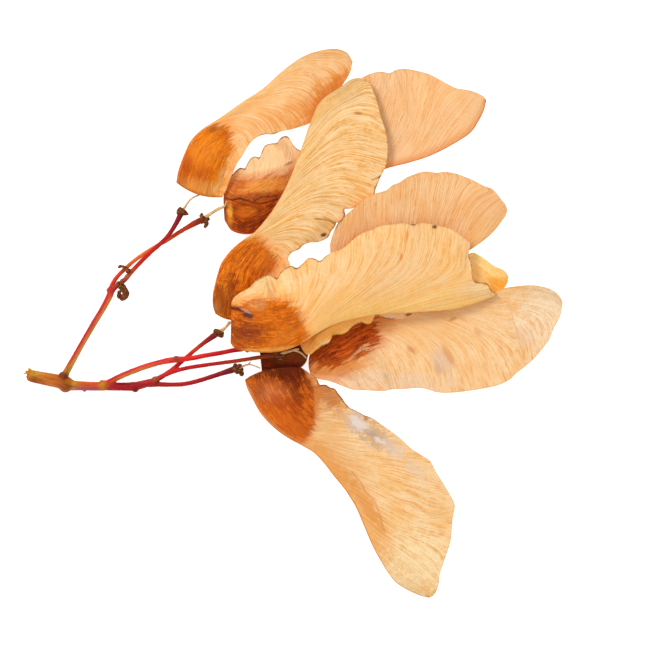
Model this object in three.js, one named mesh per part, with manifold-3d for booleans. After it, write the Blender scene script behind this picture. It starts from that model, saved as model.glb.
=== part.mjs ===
// A cut cluster of dry maple samaras, lying on a flat surface.
// One branched stalk carries six dry flower cups. From each cup runs a pale thread, and on the
// threads hang eight samaras, each one seed case grown together with its papery wing.
// Millimetres, +Z up, the surface at z = 0. Plan positions are pixels of the 650 x 650 photograph,
// which looks straight down, and heights are millimetres above the surface.
import * as THREE from "three";
import { mergeVertices } from "three/addons/utils/BufferGeometryUtils.js";
import Module from "manifold-3d";

// ---- Driving dimensions
const LONGEST_SAMARA = 52; // from the seed's cut face to the wing tip
const LONGEST_SAMARA_PIXELS = 289; // the same length in the photograph
const MM = LONGEST_SAMARA / LONGEST_SAMARA_PIXELS; // millimetres in one pixel
const CENTRE = [292.5, 323]; // the pixel that stands over the origin
const WING = 0.6; // thickness of the papery wing
const SEED = 2.7; // thickness of a flattened seed case, unless its samara lists another
const RIB = 0.55; // what the rib along the leading edge adds to the wing
const THREAD = 0.24; // radius of the pale threads
const GAP = 0.08; // between a thread or a cup and what it holds

// ---- Plan and height of each samara. Both edges run from the cut face to the tip; the heights are
// those of the wing's middle surface at five even stations along each edge.
const SAMARAS = [
  {
    name: "samara_top_left",
    leading: [
      [176, 182], [178, 171], [184, 154], [191, 140], [202, 129], [218, 119], [242, 102],
      [263, 88], [283, 70], [303, 56], [322, 49.5], [338, 48.5], [348, 53], [352, 62],
    ],
    trailing: [
      [222, 197], [226, 190], [229, 182], [233, 172], [237, 163], [242, 156], [246, 149],
      [251, 142], [257, 137], [265, 134], [273, 134], [281, 131], [291, 129], [301, 126],
      [309, 123], [320, 114], [331, 101], [342, 85], [348, 76], [351, 69], [352, 62],
    ],
    leadingHeight: [0.9, 0.8, 0.7, 1.1, 0.8],
    trailingHeight: [2.1, 2.0, 1.3, 0.9, 0.8],
    bow: 5,
    camber: 0.5,
    colour: 0xe9a45c,
  },
  {
    name: "samara_top_right",
    leading: [
      [225, 221], [231, 230], [240, 233.5], [250, 234], [266, 229], [290, 217], [320, 201],
      [350, 185], [384, 169], [410, 162], [430, 155.5], [453, 144], [471, 132], [478, 122],
      [484, 110], [486, 100],
    ],
    trailing: [
      [224, 190], [227, 182], [231, 176], [234, 172], [240, 167.5], [244.5, 168], [247, 163.5],
      [250.5, 158], [255, 156], [259, 157], [261.5, 151.5], [265, 145], [271, 143], [277, 142],
      [280, 138], [283, 136], [287.5, 136], [290.5, 140], [294, 145.5], [301, 150], [310, 146],
      [322, 128], [336, 105], [350, 86], [364, 76], [374, 72], [383, 71], [389, 72.5],
      [397, 69], [407, 68.3], [417, 70.3], [429, 73.5], [448, 83.7], [456, 87.6], [467, 89.5],
      [476, 92], [484, 96.5], [486, 100],
    ],
    leadingHeight: [1.3, 0.9, 0.6, 0.5, 1.8],
    trailingHeight: [1.0, 1.0, 0.7, 0.9, 1.8],
    bow: 1,
    camber: -0.1,
    colour: 0xdf9a61,
  },
  {
    name: "samara_tall",
    leading: [
      [215, 313], [213, 307], [212.5, 296], [214.7, 284], [217.5, 273.5], [221, 263.5], [228, 253.5],
      [236, 245.5], [245, 238.5], [254, 232.5], [266.5, 218.5], [279.5, 199.5], [290, 178.5],
      [300, 152], [309.5, 125], [318, 105], [325, 97], [334, 91], [343, 85], [351, 79.5],
      [358, 78], [365, 80],
    ],
    trailing: [
      [250, 317], [262, 300], [274, 285], [284, 273], [290, 265], [288, 259], [290, 254],
      [294, 251], [299, 249], [303, 245], [310, 242], [318, 241.5], [324, 239.5], [328, 237],
      [331, 231], [335, 226], [336.5, 222], [341, 222.5], [345, 216], [344.5, 209], [352, 208],
      [364, 202], [374, 195], [375.5, 189], [378, 183], [380.6, 176.5], [384.5, 169],
      [387, 160], [387.7, 149], [387, 139], [385, 129], [381, 117], [377.5, 103], [374, 93],
      [370, 84], [365, 80],
    ],
    leadingHeight: [1.3, 2.3, 3.5, 3.0, 2.4],
    trailingHeight: [1.3, 2.3, 2.6, 2.2, 2.4],
    bow: 5,
    camber: 0.5,
    colour: 0xeeb870,
  },
  {
    name: "samara_right_upper",
    leading: [
      [262, 373], [275, 376], [290, 373], [301, 367.5], [306, 362], [307.5, 356], [309, 352],
      [315, 342],
      [323, 333.5], [333, 326], [347, 316], [370, 302], [400, 288], [430, 273], [450, 262],
      [470, 250], [488, 237], [496, 229], [502, 221], [506, 215], [507.5, 210],
    ],
    trailing: [
      [259, 344], [268, 336], [280, 326], [292, 317], [303, 306], [313, 295], [322, 285],
      [329, 273], [332, 262], [331, 253], [330, 245], [332, 237], [335, 229], [339, 222],
      [345, 216], [352, 210], [360, 202.5], [369, 196], [376, 193.5], [387, 190], [392, 185.5],
      [399.5, 182.4], [407, 177.3], [415, 174], [422.5, 171.8], [429, 171.5], [435.5, 172.6],
      [445.6, 171.8], [456, 173.5], [465, 176.7], [475, 181], [484, 185.6], [492.4, 188.8],
      [497.6, 194], [502, 200], [506, 205], [507.5, 210],
    ],
    leadingHeight: [1.2, 1.3, 1.5, 1.2, 1.5],
    trailingHeight: [1.4, 2.2, 3.7, 2.6, 1.5],
    bow: 0,
    camber: 0,
    colour: 0xe2a066,
  },
  {
    name: "samara_tucked",
    leading: [
      [297, 332], [308, 321], [322, 312], [340, 303], [365, 294], [395, 286], [425, 276],
      [441, 269.5], [455, 262.5], [465, 256.5], [473, 252.5], [483, 257.5], [495, 266],
      [503, 269.5], [507.5, 274], [508, 279],
    ],
    trailing: [
      [306, 354.5], [311, 354], [316, 350], [322, 346.5], [328.5, 343.5], [331, 340],
      [332.5, 336], [337, 335], [342.5, 334.5], [347.5, 332], [351.5, 327.5], [356.5, 324.5],
      [362, 322.8], [367, 324.5], [371, 323.5], [373.5, 320], [375.5, 316], [379, 316],
      [385, 318.5], [395, 319.5], [405, 318], [413, 313], [422, 304], [433, 297], [447, 292.5],
      [462, 291], [478, 292], [492, 293], [502, 290], [507, 284], [508, 279],
    ],
    leadingHeight: [3.9, 3.9, 2.8, 1.3, 0.3],
    trailingHeight: [3.6, 3.2, 2.6, 1.2, 0.3],
    seed: 1.8,
    bow: 2,
    camber: 0,
    colour: 0xe8ae52,
  },
  {
    name: "samara_long",
    leading: [
      [231, 343], [235, 348], [244, 350.7], [262, 352.5], [277, 352], [288, 349.5],
      [299, 345], [310, 338], [320, 331.5], [335, 324], [348, 320], [365, 316.5], [385, 313.5],
      [410, 312.5], [435, 311], [455, 309], [472, 304.5], [485, 300], [497, 295],
    ],
    trailing: [
      [231.5, 303], [234, 298], [240, 293], [245, 290.5], [250, 287], [254, 282], [260, 278],
      [268, 275], [273, 276], [277, 278.5], [282, 271], [287, 268], [291, 266], [297, 268],
      [303, 263.5], [309, 258], [315, 259], [320, 261], [326, 256], [333, 252], [340, 250],
      [347, 245.5], [353, 240], [362, 233.5], [372, 230], [381, 226], [392, 224.5],
      [403, 223.5], [413, 224.5], [423, 223], [435, 225], [448, 228], [456, 232], [464, 238],
      [470, 243], [468.5, 250], [468.5, 256], [471, 263], [471.5, 272], [472.5, 279],
      [477, 282], [487, 283.5], [490.5, 289], [497, 295],
    ],
    leadingHeight: [6.0, 6.0, 5.2, 3.8, 2.6],
    trailingHeight: [5.6, 5.0, 4.8, 3.7, 2.6],
    bow: 0,
    camber: 0.4,
    colour: 0xeeb66e,
  },
  {
    name: "samara_right_lower",
    leading: [
      [310, 354], [315, 347], [322, 340.5], [331, 334], [343, 328.5], [356, 320.5], [370, 315],
      [390, 311], [420, 306.5], [450, 301.5], [480, 295.5], [497, 291], [505, 288], [518, 286],
      [532, 285], [545, 287], [554, 290.5], [560, 296], [562.5, 303],
    ],
    trailing: [
      [311, 375], [318, 379], [327, 380.5], [336, 383.5], [345, 387], [352, 389.5],
      [368, 390.5], [385, 391], [392, 389.5], [405, 389], [420, 388], [428, 389.5], [436, 392],
      [446, 393], [460, 392], [472, 390.5], [484, 388.5], [496, 386], [504, 383], [511, 379],
      [517, 373], [525, 367], [534, 359], [542, 350], [550, 339], [554, 329], [559, 320],
      [562, 311], [562.5, 303],
    ],
    leadingHeight: [1.3, 1.2, 1.1, 1.5, 0.3],
    trailingHeight: [1.3, 0.8, 0.4, 0.5, 0.3],
    bow: 2,
    camber: 0.5,
    colour: 0xefb877,
  },
  {
    name: "samara_bottom",
    leading: [
      [245, 380], [247, 388], [252, 398], [259, 411], [267, 421], [278, 431], [290, 439],
      [303, 446], [313, 452], [323, 462], [333, 475], [345, 490], [355, 506], [364, 526],
      [372, 545], [380, 560], [388, 573], [396, 583], [405, 589], [415, 594], [423, 597],
      [430, 597.5],
    ],
    trailing: [
      [302, 368], [309, 373], [317, 379], [320, 385], [326, 385], [330, 387.5], [335, 389],
      [338, 393], [342, 398], [346, 404], [351, 408.5], [357, 411], [364, 415], [372, 418],
      [380, 423.5], [392, 432], [402, 440], [411, 448.5], [421, 455], [430, 461], [436, 472],
      [443, 483], [449, 493], [454, 502], [455, 507], [453, 518], [452, 530], [451, 541],
      [448, 551], [444, 563], [440, 575], [439, 584], [437, 591], [433.5, 596], [430, 597.5],
    ],
    leadingHeight: [3.4, 1.6, 0.8, 0.6, 0.3],
    trailingHeight: [3.6, 2.2, 1.1, 0.9, 0.3],
    bow: 6,
    camber: 0.6,
    colour: 0xefb26a,
  },
];

// Where the seed case lies in its samara: its share of the length and of the width.
const SEED_REACH = 0.27;
const SEED_WIDTH = 0.86;
const ROWS = [0, 0.07, 0.18, 0.32, 0.46, 0.6, 0.74, 0.87, 1]; // across, from the leading edge

// ---- The stalk's branches: [pixel x, pixel y, height, radius]
const BRANCHES = {
  foot: [
    [27, 375.2, 1.4, 1.0], [33, 376.4, 1.32, 1.14], [46, 379, 1.3, 1.18], [58, 381.5, 1.3, 1.22],
    [66, 383.6, 1.32, 1.28], [71, 385.3, 1.3, 1.0], [84, 386, 1.25, 0.82], [97, 386.3, 1.25, 0.82],
    [103, 386, 1.25, 0.9], [109, 385.8, 1.3, 0.78],
  ],
  upper: [
    [63, 378, 1.5, 0.8], [66.2, 372, 1.7, 0.62], [75, 356, 1.85, 0.56], [84, 340, 1.95, 0.55],
    [93.2, 324.4, 2.05, 0.55], [101.9, 310, 2.15, 0.56], [108.5, 297.5, 2.2, 0.6],
    [111.5, 290.5, 2.25, 0.66],
  ],
  to_top_left: [
    [110.5, 292, 2.25, 0.5], [116, 286.5, 2.45, 0.46], [124.5, 280, 2.6, 0.44],
    [130.5, 273, 2.7, 0.42], [139.6, 263, 2.8, 0.4], [149.6, 253, 2.85, 0.4],
    [159.4, 244.4, 2.85, 0.4], [167.8, 236, 2.75, 0.41], [175, 225, 2.55, 0.44],
    [180.4, 214.8, 2.25, 0.5],
  ],
  to_top_right: [
    [110, 292, 2.1, 0.5], [111.5, 286, 1.85, 0.44], [114.8, 279.4, 1.6, 0.4],
    [121.6, 271.6, 1.45, 0.38], [131.2, 262.8, 1.35, 0.37], [141, 255.3, 1.3, 0.37],
    [152.2, 248.2, 1.28, 0.37], [169, 238.5, 1.3, 0.38], [184, 229, 1.45, 0.41],
    [200.3, 219.6, 1.6, 0.52],
  ],
  to_right_upper: [
    [101, 386, 1.35, 0.7], [107, 383, 1.55, 0.55], [121.4, 375.8, 1.8, 0.52], [141, 368, 2.1, 0.5],
    [160.6, 362.2, 2.55, 0.5], [176, 359.6, 2.85, 0.56], [189, 358.6, 3.0, 0.45],
    [205, 355.6, 3.05, 0.42], [220, 353, 3.05, 0.42], [233, 350.4, 3.0, 0.43],
    [243.4, 348.6, 2.95, 0.48],
  ],
  lower: [
    [99, 386.3, 1.25, 0.75], [118, 386.6, 1.4, 0.74], [134, 386.4, 1.6, 0.78],
    [146, 383.6, 1.75, 0.7], [157, 381.2, 1.85, 0.72],
  ],
  to_long: [
    [154, 381, 1.85, 0.55], [166, 374, 1.8, 0.42], [176, 366.4, 1.72, 0.4],
    [187, 356.8, 1.75, 0.4], [196, 349, 2.1, 0.4], [205, 342, 2.6, 0.43], [215, 335, 2.95, 0.52],
  ],
  to_pair: [
    [154, 381, 1.85, 0.52], [165, 375, 1.95, 0.4], [178, 370.2, 2.05, 0.38],
    [192, 367.2, 2.2, 0.36], [209, 364.6, 2.6, 0.36], [225, 362.4, 3.1, 0.36],
    [242, 360, 3.6, 0.36], [259, 357.4, 3.85, 0.37], [273, 355.3, 3.85, 0.45],
  ],
  to_bottom: [
    [146, 384.5, 1.75, 0.55], [157, 384.4, 1.65, 0.45], [170, 384.8, 1.55, 0.42],
    [183, 384.2, 1.52, 0.42], [197, 381.2, 1.6, 0.42], [210, 377.2, 1.75, 0.43],
    [221, 373.6, 1.9, 0.46], [232, 369.8, 2.1, 0.54],
  ],
};
const BRANCH_SIDES = 9;

// Swellings and scars on the stalk: [pixel x, pixel y, height, radius]
const SWELLINGS = [
  [65, 386, 1.25, 1.2], [63, 377, 1.7, 0.95], [103, 385, 1.4, 0.92], [101.4, 382, 1.55, 0.42],
  [84, 390, 1.15, 0.36], [135, 389, 1.5, 0.62], [155, 379.6, 2.05, 0.6], [176, 358.4, 2.95, 0.5],
  [111, 290, 2.25, 0.75], [108.6, 290, 2.35, 0.45], [122.6, 281, 2.55, 0.5], [127, 277, 2.6, 0.48],
];

// Splinters of the torn foot: [pixel x, pixel y, height] at the root and at the point
const SPLINTERS = [
  [[33, 371.5, 1.9], [22.5, 373.5, 2.1]],
  [[33, 377, 1.6], [25, 376, 1.2]],
  [[34, 373, 2.3], [28, 368.5, 2.5]],
  [[35, 379, 1.2], [29.5, 380.5, 0.7]],
  [[32, 375, 1.4], [24.5, 371, 1.3]],
];

// ---- Dry flower cups at the branch ends, each with the way it faces, and what hangs from it.
// reach holds the thread's further points to each samara, [pixel x, pixel y, height].
const CUPS = [
  {
    name: "top_left",
    at: [181.6, 212.6, 2.2],
    faces: [3, 6.5, 0],
    size: 0.85,
    threads: [[[187, 203.5, 2.4], [191, 198.8, 2.1], [196.3, 195.9, 1.6]]],
    turn: 0.4,
  },
  {
    name: "top_right",
    at: [202.2, 218.4, 1.65],
    faces: [6, 3.4, 0],
    size: 0.9,
    threads: [[[212, 212.5, 1.75], [217, 209.5, 1.6], [222.1, 206.6, 1.35]]],
    turn: 1.3,
  },
  {
    name: "long",
    at: [217.4, 333.6, 3.05],
    faces: [4, 3.4, 0.6],
    size: 0.9,
    threads: [
      [[225.5, 327.5, 3.7], [228, 324, 4.6], [229.3, 321.5, 5.6]],
      [[225.5, 327.5, 3.5], [228.5, 324.5, 2.7], [231.2, 321.6, 1.7]],
    ],
    turn: 2.1,
  },
  {
    name: "right_upper",
    at: [245.6, 348.3, 2.95],
    faces: [6, 0.4, 0],
    size: 0.7,
    threads: [[[253.6, 348.2, 2.6], [255.8, 348.6, 2.1], [257.5, 349, 1.5]]],
    turn: 0.9,
  },
  {
    name: "pair",
    at: [275.6, 354.8, 3.85],
    faces: [6, 0.8, 0],
    size: 0.78,
    threads: [
      [[287, 352, 4.0], [294, 350.4, 3.8], [301, 353, 3.35], [306.8, 358.6, 2.5]],
      [[287, 352, 4.1], [293.5, 350, 4.15], [299.4, 348.6, 3.95]],
    ],
    turn: 2.6,
  },
  {
    name: "bottom",
    at: [234.6, 369, 2.2],
    faces: [6, 1.6, 0.4],
    size: 0.88,
    threads: [
      [[243.6, 366, 2.65], [249, 364.6, 2.9], [255, 366, 3.2], [260.6, 368.4, 3.45]],
      [[243.6, 366, 2.6], [248, 364.4, 2.7], [251, 361.5, 2.6]],
    ],
    turn: 0.75,
  },
];
const SEPALS = 5; // dry lobes round each cup

// Two dead flower buds that dried and curled where the upper branch forks: [x, y, height, radius]
const DRIED_BUDS = [
  {
    name: "dried_bud_upper",
    path: [
      [117.5, 267.8, 2.4, 0.26], [120.5, 266.3, 2.6, 0.3], [123.5, 266.6, 2.9, 0.32],
      [127, 269.4, 3.6, 0.36], [131, 271, 3.75, 0.32],
    ],
  },
  {
    name: "dried_bud_lower",
    path: [
      [117, 283, 3.45, 0.32], [121, 285.6, 3.6, 0.42], [124.5, 289.6, 3.2, 0.38],
      [126.4, 294, 2.5, 0.44], [123, 297.5, 1.9, 0.46], [119, 298.6, 1.5, 0.44],
    ],
  },
];

// ---- Helpers
const place = ([x, y, z]) => new THREE.Vector3((x - CENTRE[0]) * MM, (CENTRE[1] - y) * MM, z ?? 0);
const smooth = (points) => new THREE.CatmullRomCurve3(points, false, "centripetal");

// A closed mesh as a solid that can be joined with others.
const wasm = await Module();
wasm.setup();
function solidOf(geometry) {
  const bare = geometry.clone();
  bare.deleteAttribute("normal");
  bare.deleteAttribute("uv");
  const merged = mergeVertices(bare, 1e-4);
  return new wasm.Manifold(
    new wasm.Mesh({
      numProp: 3,
      vertProperties: merged.attributes.position.array,
      triVerts: new Uint32Array(merged.index.array),
    }),
  );
}

function fuse(geometries) {
  const whole = geometries.map(solidOf).reduce((a, b) => a.add(b));
  const mesh = whole.getMesh();
  return new THREE.BufferGeometry()
    .setAttribute("position", new THREE.BufferAttribute(mesh.vertProperties, 3))
    .setIndex(new THREE.BufferAttribute(mesh.triVerts, 1));
}

// A mesh from points and triangles, turned right side out.
function closedMesh(points, triangles) {
  let volume = 0;
  for (const [a, b, c] of triangles) {
    volume += points[a].dot(points[b].clone().cross(points[c]));
  }
  const facing = volume > 0 ? triangles : triangles.map(([a, b, c]) => [a, c, b]);
  return new THREE.BufferGeometry().setFromPoints(points).setIndex(facing.flat());
}

// A height read off five even stations.
function heightAt(stations, u) {
  const last = stations.length - 1;
  const line = smooth(stations.map((h, i) => new THREE.Vector3(i / last, h, 0)));
  return line.getPoint(Math.min(Math.max(u, 0), 1)).y;
}

// How much of the seed case's full thickness stands at a place in the samara, from 0 to 1.
function seedSwell(u, v) {
  const along = u / SEED_REACH;
  const across = v / SEED_WIDTH;
  if (along >= 1 || across <= 0 || across >= 1) return 0;
  const FULLEST = 0.42;
  const lengthwise =
    along < FULLEST
      ? 0.5 + 0.5 * Math.sin((along / FULLEST) * (Math.PI / 2))
      : Math.sqrt(1 - ((along - FULLEST) / (1 - FULLEST)) ** 2);
  return lengthwise * (4 * across * (1 - across)) ** 0.62;
}

// ---- A samara: a flattened seed case that runs out into a thin wing, stiffened by a rib along the
// leading edge. Its trailing edge is waved and torn, as listed.
function samara(spec) {
  const leading = smooth(spec.leading.map(place));
  const trailingPoints = spec.trailing.map(place);
  const trailing = smooth(trailingPoints);
  const lengths = trailing.getLengths(40 * (trailingPoints.length - 1));
  const whole = lengths.at(-1);
  const stations = trailingPoints.map((_, i) => lengths[40 * i] / whole);
  const root = place(spec.leading[0]).lerp(trailingPoints[0], 0.5);
  const withinCase = leading.getPointAt(0.1).lerp(trailing.getPointAt(0.1), 0.5);
  const outward = root.clone().sub(withinCase).normalize();

  const tops = [];
  const undersides = [];
  stations.forEach((u, i) => {
    const start = leading.getPointAt(u);
    const end = trailingPoints[i];
    const bow = spec.bow * MM * Math.max(0, 1 - u / 0.12) ** 2;
    for (const v of i === stations.length - 1 ? [0.5] : ROWS) {
      const at = start.clone().lerp(end, v).addScaledVector(outward, bow * 4 * v * (1 - v));
      const camber = spec.camber * 4 * v * (1 - v) * Math.sin(Math.PI * Math.min(1, u * 1.1)) ** 2;
      const middle =
        heightAt(spec.leadingHeight, u) * (1 - v) + heightAt(spec.trailingHeight, u) * v + camber;
      const rib = RIB * Math.exp(-(((v - 0.07) / 0.07) ** 2)) * (1 - 0.75 * u);
      const half = (WING + rib + ((spec.seed ?? SEED) - WING) * seedSwell(u, v)) / 2;
      const down = Math.max(middle - half, 0);
      tops.push(new THREE.Vector3(at.x, at.y, Math.max(middle + half, down + WING)));
      undersides.push(new THREE.Vector3(at.x, at.y, down));
    }
  });

  const points = [...tops, ...undersides].map((p) => p.sub(root));
  const below = tops.length;
  const rows = ROWS.length;
  const tip = below - 1;
  const columns = stations.length - 1;
  const id = (i, j) => (i === columns ? tip : i * rows + j);
  const triangles = [];
  for (let i = 0; i < columns; i += 1) {
    for (let j = 0; j < rows - 1; j += 1) {
      const [a, b, c, d] = [id(i, j), id(i, j + 1), id(i + 1, j + 1), id(i + 1, j)];
      const faces = i === columns - 1 ? [[a, b, c]] : [[a, b, c], [a, c, d]];
      for (const [p, q, r] of faces) {
        triangles.push([p, q, r], [p + below, r + below, q + below]);
      }
    }
    const rim = [[id(i, 0), id(i + 1, 0), false], [id(i, rows - 1), id(i + 1, rows - 1), true]];
    for (const [p, q, turned] of rim) {
      const wall = [[p, q, q + below], [p, q + below, p + below]];
      triangles.push(...wall.map(([a, b, c]) => (turned ? [a, c, b] : [a, b, c])));
    }
  }
  for (let j = 0; j < rows - 1; j += 1) {
    const [p, q] = [id(0, j + 1), id(0, j)];
    triangles.push([p, q, q + below], [p, q + below, p + below]);
  }
  return [closedMesh(points, triangles), root];
}

// ---- A round stem of changing radius along a smooth line, closed at both ends.
function stem(path, sides = BRANCH_SIDES, stepsPerSpan = 2) {
  const line = smooth(path.map(place));
  const spans = path.length - 1;
  const count = spans * stepsPerSpan;
  const points = [];
  const side = new THREE.Vector3();
  for (let i = 0; i <= count; i += 1) {
    const t = i / count;
    const centre = line.getPoint(t);
    const ahead = line.getTangent(t);
    const span = Math.min(Math.floor(t * spans), spans - 1);
    const radius = THREE.MathUtils.lerp(path[span][3], path[span + 1][3], t * spans - span);
    side.set(-ahead.y, ahead.x, 0).normalize();
    const up = new THREE.Vector3().crossVectors(ahead, side);
    for (let k = 0; k < sides; k += 1) {
      const angle = (2 * Math.PI * k) / sides;
      points.push(
        centre
          .clone()
          .addScaledVector(side, radius * Math.cos(angle))
          .addScaledVector(up, radius * Math.sin(angle)),
      );
    }
  }
  const triangles = [];
  for (let i = 0; i < count; i += 1) {
    for (let k = 0; k < sides; k += 1) {
      const next = (k + 1) % sides;
      const [a, b] = [i * sides + k, i * sides + next];
      triangles.push([a, b, b + sides], [a, b + sides, a + sides]);
    }
  }
  for (let k = 1; k < sides - 1; k += 1) {
    const end = count * sides;
    triangles.push([0, k + 1, k], [end, end + k, end + k + 1]);
  }
  return closedMesh(points, triangles);
}

function ball([x, y, z, radius]) {
  const geometry = new THREE.IcosahedronGeometry(radius, 1);
  const at = place([x, y, z]);
  return geometry.translate(at.x, at.y, at.z);
}

// A long thin splinter of torn bark or wood.
function splinter([root, point]) {
  const from = place(root);
  const to = place(point);
  const cone = new THREE.ConeGeometry(0.42, from.distanceTo(to), 5);
  const turn = new THREE.Quaternion().setFromUnitVectors(
    new THREE.Vector3(0, 1, 0),
    to.clone().sub(from).normalize(),
  );
  const middle = from.clone().lerp(to, 0.5);
  return cone.applyQuaternion(turn).translate(middle.x, middle.y, middle.z);
}

function stalk() {
  const branches = Object.values(BRANCHES).map((path) => stem(path));
  return fuse([...branches, ...SWELLINGS.map(ball), ...SPLINTERS.map(splinter)]);
}

// ---- A dry flower cup: a small disc with withered lobes folded back round it.
const cupFacing = (cup) => new THREE.Vector3(...cup.faces).normalize();

function cupGeometry(cup) {
  const { size } = cup;
  const profile = [
    [0, 0], [0.55, 0], [0.85, 0.3], [0.95, 0.62], [0.6, 0.85], [0, 0.8],
  ].map(([r, h]) => new THREE.Vector2(r * size, h * size));
  const disc = new THREE.LatheGeometry(profile, 10);
  const lobes = [];
  for (let k = 0; k < SEPALS; k += 1) {
    const unlike = 0.75 + 0.5 * Math.abs(Math.sin(7.3 * k + 5 * cup.turn));
    const lobe = new THREE.ConeGeometry(0.4 * size, 1.15 * size * unlike, 5)
      .scale(1, 1, 0.62)
      .translate(0, 0.5 * size * unlike, 0)
      .rotateX(1.15 + 0.9 * Math.sin(3.1 * k + cup.turn))
      .translate(0, 0.5 * size, 0.55 * size)
      .rotateY(cup.turn + (2 * Math.PI * k) / SEPALS);
    lobes.push(lobe);
  }
  const turn = new THREE.Quaternion().setFromUnitVectors(
    new THREE.Vector3(0, 1, 0),
    cupFacing(cup),
  );
  return fuse([disc, ...lobes]).applyQuaternion(turn);
}

// ---- The pale threads of a cup, joined where they leave it.
function threads(cup) {
  const mouth = place(cup.at).addScaledVector(cupFacing(cup), 0.95 * cup.size + 2 * GAP);
  const root = [mouth.x / MM + CENTRE[0], CENTRE[1] - mouth.y / MM, mouth.z];
  const strands = cup.threads.map((path) =>
    stem([root, ...path].map((p) => [...p, THREAD]), 6, 2),
  );
  return strands.length > 1 ? fuse(strands) : strands[0];
}

// ---- Assembly
const finish = (color, roughness) =>
  new THREE.MeshStandardMaterial({ color, roughness, metalness: 0 });
const RED_BARK = finish(0xa83a2c, 0.55);
const DRY_BROWN = finish(0x5a3a22, 0.9);
const PALE_THREAD = finish(0xd9b478, 0.7);

const cluster = new THREE.Group();

function add(name, geometry, material, at) {
  const mesh = new THREE.Mesh(geometry, material);
  mesh.name = name;
  if (at) mesh.position.copy(at);
  cluster.add(mesh);
}

add("stalk", stalk(), RED_BARK);
for (const spec of SAMARAS) {
  const [geometry, root] = samara(spec);
  add(spec.name, geometry, finish(spec.colour, 0.7), root);
}
for (const cup of CUPS) {
  const seat = place(cup.at).addScaledVector(cupFacing(cup), GAP);
  add(`cup_${cup.name}`, cupGeometry(cup), DRY_BROWN, seat);
  add(`thread_${cup.name}`, threads(cup), PALE_THREAD);
}
for (const bud of DRIED_BUDS) add(bud.name, stem(bud.path, 7, 2), DRY_BROWN);

export default cluster;
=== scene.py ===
import math
import bpy
import numpy as np
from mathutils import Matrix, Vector


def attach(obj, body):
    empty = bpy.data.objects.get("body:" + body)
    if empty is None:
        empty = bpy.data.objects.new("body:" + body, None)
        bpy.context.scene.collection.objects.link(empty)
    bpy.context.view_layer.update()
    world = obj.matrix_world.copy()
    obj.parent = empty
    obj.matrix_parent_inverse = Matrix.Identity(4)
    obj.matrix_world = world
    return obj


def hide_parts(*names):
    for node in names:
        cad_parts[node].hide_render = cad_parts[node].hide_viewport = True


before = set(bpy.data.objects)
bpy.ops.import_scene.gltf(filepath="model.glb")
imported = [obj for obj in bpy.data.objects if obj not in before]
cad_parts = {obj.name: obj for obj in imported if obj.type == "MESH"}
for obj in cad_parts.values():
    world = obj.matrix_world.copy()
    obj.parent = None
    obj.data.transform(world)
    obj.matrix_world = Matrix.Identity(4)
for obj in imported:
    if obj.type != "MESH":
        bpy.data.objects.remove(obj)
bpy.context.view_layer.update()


# The surface and the view. The cluster lies on a plain white table under soft light from all round,
# a little stronger from the upper left, and is seen from straight above.
PIXEL = 0.052 / 289  # metres in one pixel of the photograph
PHOTO_SIDE = 650  # pixels
CENTRE = (292.5, 323)  # the pixel that stands over the origin
TABLE_GLOW, ROOM_LIGHT, WINDOW_POWER = 0.82, 0.74, 3.3
WINDOW_PLACE = (-0.45, 0.4, 0.6)


def on_table(x, y, z=0.0):
    """The place of a pixel of the photograph, at a height in millimetres."""
    return ((x - CENTRE[0]) * PIXEL, (CENTRE[1] - y) * PIXEL, z / 1000)


def linear(seen):
    """Colour values as seen, 0 to 1, in the linear values that a material holds."""
    return np.where(seen <= 0.04045, seen / 12.92, ((seen + 0.055) / 1.055) ** 2.4)


def paint(red, green, blue):
    """A colour as seen, 0 to 255, for a material."""
    return (*linear(np.array([red, green, blue]) / 255).tolist(), 1.0)


class Number:
    """A value inside a material: arithmetic on it adds the nodes that work it out."""

    def __init__(self, finish, socket):
        self.finish, self.socket = finish, socket

    def with_(self, operation, *others):
        return self.finish.add("ShaderNodeMath", {"operation": operation}, self, *others)

    def swapped(self, operation, other):
        return self.finish.add("ShaderNodeMath", {"operation": operation}, other, self)

    def __add__(self, other):
        return self.with_("ADD", other)

    def __radd__(self, other):
        return self.with_("ADD", other)

    def __sub__(self, other):
        return self.with_("SUBTRACT", other)

    def __rsub__(self, other):
        return self.swapped("SUBTRACT", other)

    def __mul__(self, other):
        return self.with_("MULTIPLY", other)

    def __rmul__(self, other):
        return self.with_("MULTIPLY", other)

    def __truediv__(self, other):
        return self.with_("DIVIDE", other)

    def __pow__(self, other):
        return self.with_("POWER", other)

    def held(self, low, high):
        return self.with_("MAXIMUM", low).with_("MINIMUM", high)

    def output(self, place):
        return Number(self.finish, self.socket.node.outputs[place])


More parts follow.
